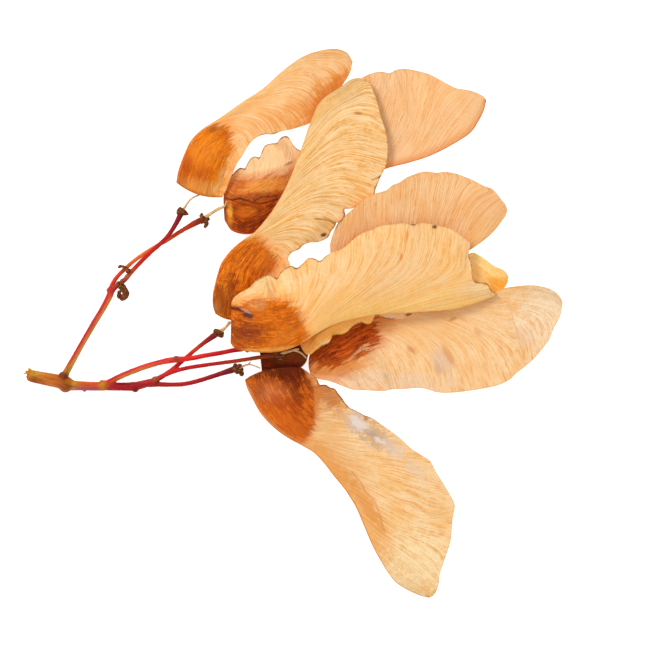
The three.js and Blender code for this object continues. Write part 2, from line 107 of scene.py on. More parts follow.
class Finish:
    """A material under construction, with one shader that its values and colours feed."""

    def __init__(self, name, roughness, sheen=0.0):
        self.material = bpy.data.materials.new(name)
        self.material.use_nodes = True
        self.tree = self.material.node_tree
        self.shader = self.tree.nodes["Principled BSDF"]
        self.shader.inputs["Roughness"].default_value = roughness
        self.shader.inputs["Specular IOR Level"].default_value = sheen

    def add(self, kind, settings, *values, out=0, **named):
        """One node: its type, its settings, and the values or links of its sockets."""
        node = self.tree.nodes.new(kind)
        for key, value in settings.items():
            setattr(node, key, value)
        for place, value in enumerate(values):
            if value is not None:
                self.feed(node.inputs[place], value)
        for name, value in named.items():
            self.feed(node.inputs[name], value)
        return Number(self, node.outputs[out])

    def feed(self, socket, value):
        if isinstance(value, Number):
            self.tree.links.new(value.socket, socket)
        else:
            socket.default_value = value

    def attribute(self, name):
        settings = {"attribute_name": name, "attribute_type": "GEOMETRY"}
        return self.add("ShaderNodeAttribute", settings, out=2)

    def colour_attribute(self, name):
        settings = {"attribute_name": name, "attribute_type": "GEOMETRY"}
        return self.add("ShaderNodeAttribute", settings, out=0)

    def here(self):
        """The pixel of the photograph under which a point lies, and its height in millimetres."""
        place = self.add("ShaderNodeTexCoord", {}, out=3)
        x = self.add("ShaderNodeSeparateXYZ", {}, place)
        y, z = x.output(1), x.output(2)
        return x / PIXEL + CENTRE[0], CENTRE[1] - y / PIXEL, z * 1000

    def spot(self, x, y, z=0.0):
        return self.add("ShaderNodeCombineXYZ", {}, x, y, z)

    def noise(self, place, detail=2.0, roughness=0.5):
        settings = {"noise_dimensions": "3D"}
        return self.add("ShaderNodeTexNoise", settings, place, None, 1.0, detail, roughness)

    def step(self, value, low, high):
        """0 below low and 1 above high, smooth between."""
        settings = {"interpolation_type": "SMOOTHSTEP"}
        return self.add("ShaderNodeMapRange", settings, value, low, high, 0.0, 1.0)

    def blend(self, share, first, second):
        settings = {"data_type": "RGBA", "blend_type": "MIX"}
        unused = [None] * 5
        return self.add("ShaderNodeMix", settings, share, *unused, first, second, out=2)

    def relief(self, height, strength, distance):
        bump = self.add("ShaderNodeBump", {}, Strength=strength, Distance=distance, Height=height)
        self.feed(self.shader.inputs["Normal"], bump)


bpy.ops.object.select_all(action="DESELECT")
bpy.ops.mesh.primitive_plane_add(size=4, location=(0, 0, -0.00006))
table = bpy.context.object
table.name = "table"
white_table = Finish("white_table", 0.9)
white_table.shader.inputs["Base Color"].default_value = (0.6, 0.6, 0.6, 1)
white_table.shader.inputs["Emission Color"].default_value = (1, 1, 1, 1)
white_table.shader.inputs["Emission Strength"].default_value = TABLE_GLOW
table.data.materials.append(white_table.material)

surroundings = bpy.data.worlds.new("soft_room")
bpy.context.scene.world = surroundings
surroundings.use_nodes = True
surroundings.node_tree.nodes["Background"].inputs["Color"].default_value = (1, 1, 1, 1)
surroundings.node_tree.nodes["Background"].inputs["Strength"].default_value = ROOM_LIGHT

bpy.ops.object.light_add(type="AREA", location=WINDOW_PLACE)
window = bpy.context.object
window.name = "soft_window"
window.data.shape = "DISK"
window.data.size = 0.3
window.data.energy = WINDOW_POWER
window.rotation_euler = Vector(WINDOW_PLACE).to_track_quat("Z", "Y").to_euler()

FRAME_WIDTH = PHOTO_SIDE * PIXEL
LENS, SENSOR = 300, 36
bpy.ops.object.camera_add(
    location=(*on_table(PHOTO_SIDE / 2, PHOTO_SIDE / 2)[:2], FRAME_WIDTH * LENS / SENSOR + 0.003),
    rotation=(0, 0, 0),
)
camera = bpy.context.object
camera.name = "overhead_camera"
camera.data.lens = LENS
camera.data.sensor_width = SENSOR
camera.data.clip_start, camera.data.clip_end = 0.05, 10
bpy.context.scene.camera = camera
bpy.context.scene.view_settings.view_transform = "Standard"


# The samaras. Each is a flattened seed case that runs out into one papery wing: the leading edge is
# a stiff rib, and fine veins leave it, sweep outwards and end at the thin trailing edge. A grid is
# laid between the two edges, shaped to the wing's height, and given its thickness.
WING, SEED = 0.26, 2.7  # thicknesses in millimetres
RIB, VEIN_RIDGE, FIBRE_RIDGE = 0.42, 0.035, 0.09  # what each adds to them
VEIN_GAP, FINE_GAP, FIBRE_GAP = 0.5, 0.3, 0.42  # millimetres from one ridge to the next
WAVE, RIPPLE = 3.1, 1.3  # lengths in millimetres
SEED_REACH, SEED_WIDTH = 0.27, 0.86  # the seed case's share of the length and the width
FRECKLES, FIBRE_LINES, STAINS = 0.3, 0.4, 0.35  # how strongly each shows
COLUMNS, ROWS = 300, 68


def points_of(piece):
    """The places of a piece's points."""
    places = np.empty(len(piece.data.vertices) * 3)
    piece.data.vertices.foreach_get("co", places)
    return places.reshape(-1, 3)


def lay(piece, places):
    """Moves a piece's points to places, and those below the table up to it."""
    places[:, 2] = np.maximum(places[:, 2], 0)
    piece.data.vertices.foreach_set("co", places.ravel())
    piece.data.update()


def note(piece, values):
    """Notes values on a piece's points, for its material to read."""
    for name, numbers in values.items():
        notes = piece.data.attributes.new(name, "FLOAT", "POINT")
        notes.data.foreach_set("value", numbers.astype(np.float32))


def flat_grid(columns, rows):
    """A flat grid, with each point's share of its length and of its width."""
    bpy.ops.object.select_all(action="DESELECT")
    bpy.ops.mesh.primitive_grid_add(x_subdivisions=columns, y_subdivisions=rows, size=1)
    piece = bpy.context.object
    shares = points_of(piece) + 0.5
    return piece, shares[:, 0], shares[:, 1]


def face_outwards(merge=None):
    """Turns the faces of the active piece outwards, once points closer than merge are one."""
    bpy.ops.object.mode_set(mode="EDIT")
    bpy.ops.mesh.select_all(action="SELECT")
    if merge:
        bpy.ops.mesh.remove_doubles(threshold=merge)
    bpy.ops.mesh.normals_make_consistent(inside=False)
    bpy.ops.object.mode_set(mode="OBJECT")


def smooth_line(points, per_span=24):
    """Points along the smooth line through the given ones."""
    points = np.asarray(points, float)
    ends = [2 * points[0] - points[1], *points, 2 * points[-1] - points[-2]]
    line = []
    for a, b, c, d in zip(ends, ends[1:], ends[2:], ends[3:]):
        first, span, last = (max(np.linalg.norm(q - p), 1e-8) ** 0.5 for p, q in ((a, b), (b, c), (c, d)))
        start = ((b - a) / first - (c - a) / (first + span) + (c - b) / span) * span
        end = ((c - b) / span - (d - b) / (span + last) + (d - c) / last) * span
        t = np.linspace(0, 1, per_span, endpoint=False)[:, None]
        line.append(
            b + start * t + (3 * (c - b) - 2 * start - end) * t**2 + (2 * (b - c) + start + end) * t**3
        )
    return np.vstack([*line, points[-1:]])


def along(line, shares):
    """Places at shares of a line's length."""
    steps = np.linalg.norm(np.diff(line, axis=0), axis=1)
    length = np.concatenate([[0], np.cumsum(steps)])
    return np.stack([np.interp(shares * length[-1], length, line[:, k]) for k in (0, 1)], axis=-1)


def nearest_on(line, places):
    """How far along a line the nearest point to each place is."""
    squares = (places**2).sum(1)[:, None] - 2 * places @ line.T + (line**2).sum(1)
    nearest = squares.argmin(1)
    ahead = np.gradient(line, axis=0)
    ahead /= np.linalg.norm(ahead, axis=1)[:, None]
    length = np.concatenate([[0], np.cumsum(np.linalg.norm(np.diff(line, axis=0), axis=1))])
    return length[nearest] + ((places - line[nearest]) * ahead[nearest]).sum(1)


def heights(stations, shares):
    """Heights at shares of a run, from its even stations."""
    run = smooth_line([(k / (len(stations) - 1), h) for k, h in enumerate(stations)], 40)
    return np.interp(shares * (len(run) - 1), np.arange(len(run)), run[:, 1])


def grain(x, y, seed):
    """Smooth random hills, between -1 and 1, a unit apart."""
    knots = np.random.default_rng(seed).random((256, 256)) * 2 - 1
    column, row = np.floor(x).astype(int), np.floor(y).astype(int)
    s, t = x - column, y - row
    s, t = s * s * (3 - 2 * s), t * t * (3 - 2 * t)
    corner = lambda i, j: knots[(column + i) & 255, (row + j) & 255]
    low = corner(0, 0) * (1 - s) + corner(1, 0) * s
    high = corner(0, 1) * (1 - s) + corner(1, 1) * s
    return low * (1 - t) + high * t


def distance(places, line):
    """How far places are from a broken line, in pixels."""
    nearest = np.full(len(places), 1e9)
    line = np.asarray(line, float)
    for a, b in zip(line, line[1:]):
        run = b - a
        share = np.clip(((places - a) @ run) / (run @ run), 0, 1)
        nearest = np.minimum(nearest, np.linalg.norm(places - a - share[:, None] * run, axis=1))
    return nearest


def inside(places, outline):
    """Which places an outline holds."""
    x, y = places[:, 0], places[:, 1]
    held = np.zeros(len(places), bool)
    for (ax, ay), (bx, by) in zip(outline, [*outline[1:], outline[0]]):
        if ay != by:
            held ^= ((ay > y) != (by > y)) & (x < (bx - ax) * (y - ay) / (by - ay) + ax)
    return held


def seed_swell(u, v):
    """How much of the seed case's thickness stands at a place, from 0 to 1."""
    run, width = u / SEED_REACH, v / SEED_WIDTH
    fullest = 0.42
    rise = 0.5 + 0.5 * np.sin(np.clip(run / fullest, 0, 1) * math.pi / 2)
    fall = np.clip(1 - (np.clip(run - fullest, 0, 1) / (1 - fullest)) ** 2, 0, 1) ** 1.3
    across = np.clip(4 * width * (1 - width), 0, 1) ** np.where(width < 0.5, 0.62, 1.3)
    return np.where((run < 1) & (width < 1), np.where(run < fullest, rise, fall) * across, 0)


def samara(name, leading, trailing, leading_height, trailing_height, look,
           bow=0.0, camber=0.0, seed=SEED, grown=1):
    """One samara, from its two edges in pixels, their heights in millimetres, and its look."""
    piece, u, v = flat_grid(COLUMNS, ROWS)
    piece.name = piece.data.name = name + "_piece"

    # The plan, in pixels of the photograph.
    front, back = smooth_line(leading), smooth_line(trailing)
    reach = np.linalg.norm(np.diff(back, axis=0), axis=1).sum() * PIXEL * 1000
    share = np.minimum(u, 0.9992)
    start, end = along(front, share), along(back, share)
    root = (front[0] + back[0]) / 2
    tenth = np.array([0.1])
    outward = root - (along(front, tenth)[0] + along(back, tenth)[0]) / 2
    outward /= np.linalg.norm(outward)
    bulge = bow * np.clip(1 - u / 0.12, 0, 1) ** 2 * 4 * v * (1 - v)
    plan = start + (end - start) * v[:, None] + outward * bulge[:, None]
    width = np.linalg.norm(end - start, axis=1) * PIXEL * 1000
    run = u * reach

    # The veins: each line of them keeps one value of flow, in millimetres along the rib.
    # They leave the rib nearly along it, bend outwards, and end nearly square to the trailing edge.
    straight = along(front, np.linspace(0, 0.8, 300))
    onward = (straight[-1] - straight[-9]) / np.linalg.norm(straight[-1] - straight[-9])
    straight = np.vstack([straight, straight[-1] + onward * np.arange(1, 120)[:, None]])
    foot = nearest_on(straight, plan) * PIXEL * 1000
    from_rib = v * width
    stations = np.linspace(0, 1, 101)
    spans = np.linalg.norm(along(back, stations) - along(front, stations), axis=1) * PIXEL * 1000
    even = np.convolve(np.pad(spans, 12, mode="edge"), np.ones(25) / 25, "valid")
    outwards = np.clip(from_rib / np.interp(u, stations, even), 0, 1)
    bend, lean = look["sweep"]
    flow = foot - reach * (bend * (1 - (1 - outwards) ** 3.5) + lean * outwards)
    swell = seed_swell(u, v)
    thin = 1 - np.clip(swell * 3, 0, 1)
    wander = grain(run / 5, from_rib / 3, grown + 3) * 0.5
    lines = 1 - np.abs(grain(flow / VEIN_GAP + wander, from_rib / 6, grown))
    finer = 1 - np.abs(grain(flow / FINE_GAP, from_rib / 3.4, grown + 1))
    ridge = np.clip(0.7 * lines**5 + 0.35 * finer**4, 0, 1)
    wander = grain(run / 4, from_rib / 2, grown + 5)
    fibre = 1 - np.abs(grain(from_rib / FIBRE_GAP + wander, run / 4.5, grown + 2))

    # The height of the wing's middle, its waves, and its thickness.
    arch = camber * 4 * v * (1 - v) * np.sin(math.pi * np.minimum(1, u * 1.1)) ** 2
    middle = heights(leading_height, u) * (1 - v) + heights(trailing_height, u) * v + arch
    waves = grain(flow / WAVE, from_rib / 9, grown + 7)
    waves = waves + 0.5 * grain(flow / RIPPLE, from_rib / 6, grown + 8)
    middle += look.get("waves", 0.05) * waves * thin * np.clip(v * 4, 0, 1)
    rib = RIB * np.exp(-(((v - 0.07) / 0.07) ** 2)) * (1 - 0.75 * u)
    body = WING + rib + (seed - WING) * swell
    body += VEIN_RIDGE * ridge * thin * (1 - 0.5 * u)
    body += FIBRE_RIDGE * fibre**3 * (1 - thin)

    # Cracks and dents sink the papery wing, and thin the seed case.
    crack, sunk = np.zeros(len(u)), np.zeros(len(u))
    for line, broad, deep in look.get("cracks", ()):
        close = np.exp(-((distance(plan + 0.8 * np.stack([waves, -waves], 1), line) / broad) ** 2))
        crack = np.maximum(crack, close)
        sunk += deep * close
    for (x, y), broad, deep in look.get("dents", ()):
        sunk += deep * np.exp(-(np.hypot(plan[:, 0] - x, plan[:, 1] - y) / broad) ** 2)
    middle -= sunk * thin
    body -= 2 * sunk * (1 - thin)
    middle = np.maximum(middle, WING / 2 * 0.9)

    marks = {
        "run": run, "flow": flow, "from_rib": from_rib, "to_edge": (1 - v) * width, "crack": crack,
    }
    case = look["case"]
    marks["case"] = distance(plan, [*case, case[0]]) * PIXEL * 1000 * np.where(inside(plan, case), 1, -1)
    torn = np.zeros(len(u))
    for low, high in look.get("torn", ()):
        torn = np.maximum(torn, np.clip((u - low) * 40, 0, 1) * np.clip((high - u) * 40, 0, 1))
    marks["torn"] = torn
    note(piece, marks)

    lay(piece, np.stack(on_table(plan[:, 0], plan[:, 1], middle), axis=1))
    thickest = body.max()
    group = piece.vertex_groups.new(name="body")
    for number, weight in enumerate(body / thickest):
        group.add([number], float(weight), "REPLACE")
    solid = piece.modifiers.new("body", "SOLIDIFY")
    solid.thickness = thickest / 1000
    solid.offset = 0
    solid.vertex_group = "body"
    bpy.ops.object.modifier_apply(modifier="body")
    lay(piece, points_of(piece))
    piece.vertex_groups.clear()
    face_outwards()
    bpy.ops.object.shade_smooth_by_angle(angle=math.radians(50))
    piece.data.materials.append(samara_finish(name, look, grown))
    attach(piece, "root")
    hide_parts(name)
    return piece


def samara_finish(name, look, grown):
    """Papery wing with its veins, fibrous seed case, dark torn edges, the marks of weather, and on some
    samaras painted shade, painted highlight and a painted glow.

    In a look, wing_marks lie under the veins and tints over them, case_marks lie on the seed case,
    and marks lie on top of all.
    """
    f = Finish(name + "_paper", 0.62, 0.08)
    run, flow, from_rib = f.attribute("run"), f.attribute("flow"), f.attribute("from_rib")
    to_edge = f.attribute("to_edge")
    x, y, _ = f.here()

    broad = f.noise(f.spot(x * 0.035, y * 0.035, grown * 7.1), 3, 0.6)
    sway = f.noise(f.spot(x * 0.04, y * 0.04, grown * 4.1), 2, 0.6)
    mottle = f.noise(f.spot(x * 0.15, y * 0.15, grown * 6.3), 3, 0.65)
    speckle = f.noise(f.spot(x * 0.8, y * 0.8, grown * 2.0), 3, 0.7)
    ragged = (mottle - 0.5) * 2.2 + (speckle - 0.5) * 1.5
    flow = flow + (sway - 0.5) * 0.7 + (mottle - 0.5) * 0.12
    vein = f.noise(f.spot(flow * 3.4, from_rib * 0.15, grown * 3.7), 2, 0.6)
    hair = f.noise(f.spot(flow * 5.4, from_rib * 0.35, grown * 1.3), 3, 0.65)

    # The wing.
    strength = look.get("veins", 1.0)
    dark = f.step(vein, 0.5, 0.66) * 0.75 + f.step(hair, 0.5, 0.64) * 0.8
    light = (1 - f.step(vein, 0.34, 0.5)) * 0.7 + (1 - f.step(hair, 0.34, 0.5)) * 0.7
    fade = f.step(mottle, 0.32, 0.62) * 0.75 + 0.25
    paper = f.blend(f.step(broad, 0.36, 0.66), paint(*look["pale"]), paint(*look["warm"]))
    gold = 1 - f.step(from_rib + (hair - 0.5) * 1.5, 0.2, look.get("gold_width", 4.0))
    paper = f.blend(gold * look.get("gold_share", 0.55), paper, paint(*look["gold"]))
    paper = stains_and_painted_light(f, paper, x, y, ragged, look.get("wing_marks", ()))
    cells = f.noise(f.spot(x * 0.42, y * 0.42, grown * 8.7), 2, 0.8)
    paper = f.blend(f.step(cells, 0.4, 0.66) * 0.35, paper, paint(*look.get("blush", (250, 178, 112))))
    bright = paint(*look.get("light", (255, 220, 172)))
    paper = f.blend((light * strength * 0.5).held(0.0, 1.0), paper, bright)
    paper = f.blend((dark * fade * strength * 0.8).held(0.0, 0.85), paper, paint(*look["vein"]))
    paper = f.blend(f.step(speckle, 0.56, 0.72) * FRECKLES, paper, paint(226, 138, 76))
    paper = stains_and_painted_light(f, paper, x, y, ragged, look.get("tints", ()))

    # The seed case, streaked with long fibres, and its frayed end.
    across = from_rib + (sway - 0.5) * 0.9 + (mottle - 0.5) * 0.3
    fray = f.noise(f.spot(across * 1.5, run * 0.26, grown * 5.3), 3, 0.6)
    threads = f.noise(f.spot(across * 4.2, run * 0.3, grown * 9.1), 4, 0.6)
    reach = look.get("fray", 1.2)
    depth = f.attribute("case") + (fray - 0.5) * (3.4 * reach) + (threads - 0.5) * (3.0 * reach)
    depth = depth + (speckle - 0.5) * 1.6
    tinted = f.step(depth, -2.2 * reach, 0.4)
    case = f.step(depth, -0.35, 0.75)
    shade = (threads - 0.5) * 2.8 + (fray - 0.5) * 1.8 + (mottle - 0.5) * 1.2 + (speckle - 0.5) * 1.2
    shade = shade + look.get("case_level", 0.6)
    shell = f.blend(shade.held(0.0, 1.0), paint(*look["case_dark"]), paint(*look["case_light"]))
    shell = stains_and_painted_light(f, shell, x, y, ragged + (threads - 0.5) * 1.2, look.get("case_marks", ()))
    fibre_line = 1 - f.step((threads - 0.53).with_("ABSOLUTE"), 0.006, 0.05)
    deep = paint(*[0.7 * c for c in look["case_dark"]])
    shell = f.blend(fibre_line * FIBRE_LINES, shell, deep)
    fleck = f.step(threads, 0.57, 0.72) * f.step(speckle, 0.4, 0.62)
    shell = f.blend(fleck * look.get("case_flecks", 0.3), shell, paint(*look["case_bright"]))
    colour = f.blend(tinted * 0.5, paper, paint(*look["case_light"]))
    colour = f.blend(case, colour, shell)

    # Thin darker rims, darkest where the edge is torn.
    rim = (1 - f.step(to_edge, 0.02, 0.26)) * 0.3
    colour = f.blend(rim, colour, paint(196, 118, 62))
    worn = 1 - f.step(to_edge + (speckle - 0.5) * 0.9 + (fray - 0.5) * 0.8, 0.0, 0.42)
    colour = f.blend(worn * f.attribute("torn") * 0.8, colour, paint(104, 52, 20))
    cut = 1 - f.step(run + (threads - 0.5) * 0.4, 0.02, 0.35)
    colour = f.blend(cut * 0.55, colour, paint(*look.get("cut_face", (150, 78, 28))))
    edge = (1 - f.step(from_rib + (speckle - 0.5) * 0.3, 0.0, 0.3)) * look.get("front_line", 0.25)
    colour = f.blend(edge, colour, paint(*look.get("front_colour", (190, 105, 50))))
    broken = f.step(f.attribute("crack") + (speckle - 0.5) * 1.1, *look.get("crack_edge", (0.3, 0.75)))
    tint, share = look.get("crack", ((84, 40, 16), 0.9))
    colour = f.blend(broken * share, colour, paint(*tint))
    stain = f.step(speckle, 0.7, 0.78) * f.step(hair, 0.45, 0.6)
    colour = f.blend(stain * STAINS, colour, paint(150, 84, 40))
    for mark in look.get("marks", ()):
        rough = min(1.0, mark[2] / 8) * look.get("raggedness", 1.0)  # small marks have smoother edges
        colour = stains_and_painted_light(f, colour, x, y, ragged * rough, [mark])
    f.feed(f.shader.inputs["Base Color"], colour)
    # Painted light: the paper glows in its own colour, standing in for light through thin paper and
    # lifting it out of shade.
    if "glow" in look:  # the light that comes through thin paper
        f.feed(f.shader.inputs["Emission Color"], colour)
        f.shader.inputs["Emission Strength"].default_value = look["glow"]
    f.feed(f.shader.inputs["Roughness"], 0.66 - case * 0.16 + (hair - 0.5) * 0.15)
    height = (vein * 0.6 + hair * 0.4) * (1 - case) + (threads * 1.2 + fray * 0.7 - broken * 0.5) * case
    f.relief(height, 0.7, 0.00025)
    return f.material


def stains_and_painted_light(f, colour, x, y, ragged, marks):
    """Patches of stain, painted shade and painted highlight. Each: its place and half widths in pixels,
    turn, colour, strength, softness.
    """
    for at_x, at_y, wide, tall, turn, tint, strength, *soft in marks:
        soft = soft[0] if soft else 0.5
        c, s = math.cos(math.radians(turn)), math.sin(math.radians(turn))
        dx, dy = x - at_x, y - at_y
        along_it = (dx * c + dy * s) / wide
        across_it = (dy * c - dx * s) / tall
        far = (along_it * along_it + across_it * across_it) ** 0.5
        share = 1 - f.step(far + ragged, 1 - soft, 1 + soft)
        colour = f.blend(share * strength, colour, paint(*tint))
    return colour


# The samara at the top left lies over its neighbour's shoulder. Its wing is amber towards the
# trailing side, and its seed case is bright orange with a brown foot.
samara(
    "samara_top_left",
    leading=[
        (176, 182), (178, 171), (184, 154), (191, 140), (202, 129), (218, 119), (242, 102), (263, 88),
        (283, 70), (303, 56), (322, 49.5), (338, 48.5), (348, 53), (352, 62),
    ],
    trailing=[
        (222, 197), (226, 190), (229, 182), (233, 172), (237, 163), (242, 156), (246, 149), (251, 142),
        (257, 137), (265, 134), (273, 134), (281, 131), (291, 129), (301, 126), (309, 123), (320, 114),
        (331, 101), (342, 85), (348, 76), (351, 69), (352, 62),
    ],
    leading_height=[0.9, 0.8, 0.7, 1.1, 0.8],
    trailing_height=[2.1, 2.0, 1.3, 0.9, 0.8],
    bow=5, camber=0.5, grown=11,
    look={
        "sweep": (0.27, -0.02), "pale": (250, 202, 142), "warm": (247, 176, 98), "vein": (234, 152, 70),
        "gold": (250, 196, 118), "gold_share": 0.3,
        "case": [
            (165, 195), (170, 172), (180, 150), (194, 133), (205, 127), (214, 123), (222, 124),
            (230, 126), (233, 134), (232, 146), (229, 160), (226, 174), (221, 190), (216, 205),
            (190, 205),
        ],
        "case_dark": (176, 58, 0), "case_light": (250, 138, 14), "case_bright": (255, 180, 70),
        "fray": 1.0, "torn": [(0.36, 0.47)], "case_flecks": 0.45,
        "tints": [
            (331, 97, 34, 12, -48, (222, 126, 38), 0.65), (196, 194, 20, 4, 16, (214, 124, 50), 0.5),
        ],
        "wing_marks": [
            (326, 101, 38, 16, -48, (222, 118, 22), 0.95), (298, 113, 28, 12, -20, (236, 148, 60), 0.7),
            (262, 122, 30, 10, -20, (240, 156, 74), 0.5), (330, 66, 22, 8, -20, (250, 204, 150), 0.6),
            (232, 118, 22, 6, -35, (236, 158, 84), 0.5),
        ],
        "case_marks": [
            (204, 188, 26, 8, 16, (236, 156, 74), 0.8), (184, 168, 8, 18, 18, (184, 74, 14), 0.5),
            (200, 170, 13, 12, -50, (198, 84, 14), 0.5), (220, 180, 4, 14, 20, (250, 190, 110), 0.6),
            (207, 150, 17, 14, -40, (250, 144, 34), 0.6), (213, 126, 12, 6, 10, (160, 84, 30), 0.55),
        ],
    },
)


# The samara at the top right lies lowest of the upper ones. Its seed case is dark and cracked, and
# the trailing edge above it is badly torn.
samara(
    "samara_top_right",
    leading=[
        (225, 221), (231, 230), (240, 233.5), (250, 234), (266, 229), (290, 217), (320, 201),
        (350, 185), (384, 169), (410, 162), (430, 155.5), (453, 144), (471, 132), (478, 122),
        (484, 110), (486, 100),
    ],
    trailing=[
        (224, 190), (227, 182), (231, 176), (234, 172), (240, 167.5), (244.5, 168), (247, 163.5),
        (250.5, 158), (255, 156), (259, 157), (261.5, 151.5), (265, 145), (271, 143), (277, 142),
        (280, 138), (283, 136), (287.5, 136), (290.5, 140), (294, 145.5), (301, 150), (310, 146),
        (322, 128), (336, 105), (350, 86), (364, 76), (374, 72), (383, 71), (389, 72.5), (397, 69),
        (407, 68.3), (417, 70.3), (429, 73.5), (448, 83.7), (456, 87.6), (467, 89.5), (476, 92),
        (484, 96.5), (486, 100),
    ],
    leading_height=[1.3, 0.9, 0.6, 0.5, 1.8],
    trailing_height=[1.0, 1.0, 0.7, 0.9, 1.8],
    bow=1, camber=-0.1, grown=23,
    look={
        "sweep": (0.09, 0.14), "pale": (249, 200, 148), "warm": (250, 192, 130), "vein": (234, 158, 88),
        "gold": (228, 128, 44), "gold_width": 1.6, "gold_share": 0.7, "veins": 0.9,
        "front_line": 0.8, "front_colour": (196, 84, 14),
        "case": [
            (214, 186), (232, 182), (245, 180), (258, 178), (270, 176), (285, 175), (300, 170),
            (306, 205), (270, 245), (214, 245),
        ],
        "case_dark": (96, 20, 0), "case_light": (214, 94, 12), "case_bright": (246, 150, 50),
        "fray": 0.7, "torn": [(0.0, 0.42)], "cut_face": (60, 26, 12),
        "crack": ((88, 36, 26), 0.85), "crack_edge": (0.45, 0.95),
        "cracks": [
            ([
                (226, 198.5), (232, 200.5), (240, 199), (248, 201.5), (256, 204), (263, 203),
                (278, 199),
            ], 1.2, 0.2),
            ([(254, 201), (262, 197), (278, 195.5)], 1.1, 0.12),
        ],
        "tints": [
            (233, 178, 12, 6, -30, (210, 130, 64), 0.3), (270, 160, 22, 12, -20, (255, 206, 150), 0.35),
        ],
        "wing_marks": [
            (268, 160, 34, 20, -20, (255, 214, 160), 0.95), (231, 180, 12, 8, -30, (210, 126, 58), 0.7),
            (262, 174, 34, 3.5, -12, (216, 130, 62), 0.5), (286, 150, 10, 4, 60, (200, 128, 78), 0.6),
            (294, 168, 6, 12, 10, (206, 128, 74), 0.5), (456, 142, 44, 8, -30, (238, 160, 96), 0.6),
        ],
        "case_marks": [
            (262, 185, 38, 8, -6, (252, 160, 70), 0.85),
            (229.6, 212, 2.6, 11, -4, (252, 166, 60), 0.9, 0.8),
            (238, 185, 8, 5, -10, (206, 90, 26), 0.6), (252, 223, 22, 7, -16, (112, 30, 0), 0.65),
            (252, 197, 28, 4, -4, (176, 84, 34), 0.7), (246, 212, 9, 5, 0, (222, 112, 20), 0.7),
        ],
        "marks": [
            (337, 211, 3, 1.3, -30, (150, 92, 60), 0.7), (289, 163, 4, 1.5, -25, (140, 84, 60), 0.6),
        ],
    },
)


# The tall samara leans across the middle. Its veins stand out most, and its trailing edge is
# creased and notched half way up.
samara(
    "samara_tall",
    leading=[
        (215, 313), (213, 307), (212.5, 296), (214.7, 284), (217.5, 273.5), (221, 263.5), (228, 253.5),
        (236, 245.5), (245, 238.5), (254, 232.5), (266.5, 218.5), (279.5, 199.5), (290, 178.5),
        (300, 152), (309.5, 125), (318, 105), (325, 97), (334, 91), (343, 85), (351, 79.5), (358, 78),
        (365, 80),
    ],
    trailing=[
        (250, 317), (262, 300), (274, 285), (284, 273), (290, 265), (288, 259), (290, 254), (294, 251),
        (299, 249), (303, 245), (310, 242), (318, 241.5), (324, 239.5), (328, 237), (331, 231),
        (335, 226), (336.5, 222), (341, 222.5), (345, 216), (344.5, 209), (352, 208), (364, 202),
        (374, 195), (375.5, 189), (378, 183), (380.6, 176.5), (384.5, 169), (387, 160), (387.7, 149),
        (387, 139), (385, 129), (381, 117), (377.5, 103), (374, 93), (370, 84), (365, 80),
    ],
    leading_height=[1.3, 2.3, 3.5, 3.0, 2.4],
    trailing_height=[1.3, 2.3, 2.6, 2.2, 2.4],
    bow=5, camber=0.5, grown=31,
    look={
        "sweep": (0.24, 0), "pale": (251, 212, 152), "warm": (252, 200, 128), "vein": (230, 158, 66),
        "gold": (250, 198, 112), "gold_width": 5.0, "gold_share": 0.6, "veins": 1.6, "waves": 0.12,
        "case": [
            (200, 325), (206, 290), (214, 265), (225, 250), (236, 243), (246, 239), (257, 238),
            (264, 243), (272, 252), (277, 262), (274, 269), (268, 276), (262, 286), (250, 325),
        ],
        "case_dark": (162, 56, 0), "case_light": (252, 134, 18), "case_bright": (255, 190, 90),
        "fray": 1.0, "torn": [(0.235, 0.56), (0.6, 0.66)], "crack": ((140, 80, 38), 0.6),
        "cracks": [
            ([(316, 218.5), (324, 219), (331, 221), (336, 224)], 1.3, 0.12),
            ([(372, 180), (377, 178), (381, 176)], 0.9, 0.05),
        ],
        "wing_marks": [
            (322, 232, 16, 8, -30, (206, 160, 104), 0.6), (330, 200, 26, 10, 20, (232, 184, 122), 0.5),
            (352, 92, 20, 10, 20, (226, 190, 132), 0.5), (284, 262, 13, 13, 0, (252, 198, 122), 0.8),
        ],
        "case_marks": [
            (224, 300, 13, 20, 8, (138, 66, 20), 0.65), (268, 262, 14, 9, -40, (214, 110, 34), 0.5),
            (217, 309, 3, 8, 8, (200, 130, 70), 0.5),
        ],
        "marks": [
            (323.5, 235, 3.0, 1.8, -20, (74, 44, 24), 0.9), (358, 113, 4, 1.5, 0, (150, 96, 50), 0.6),
            (381, 177, 3, 2, -30, (96, 62, 40), 0.7),
        ],
    },
)
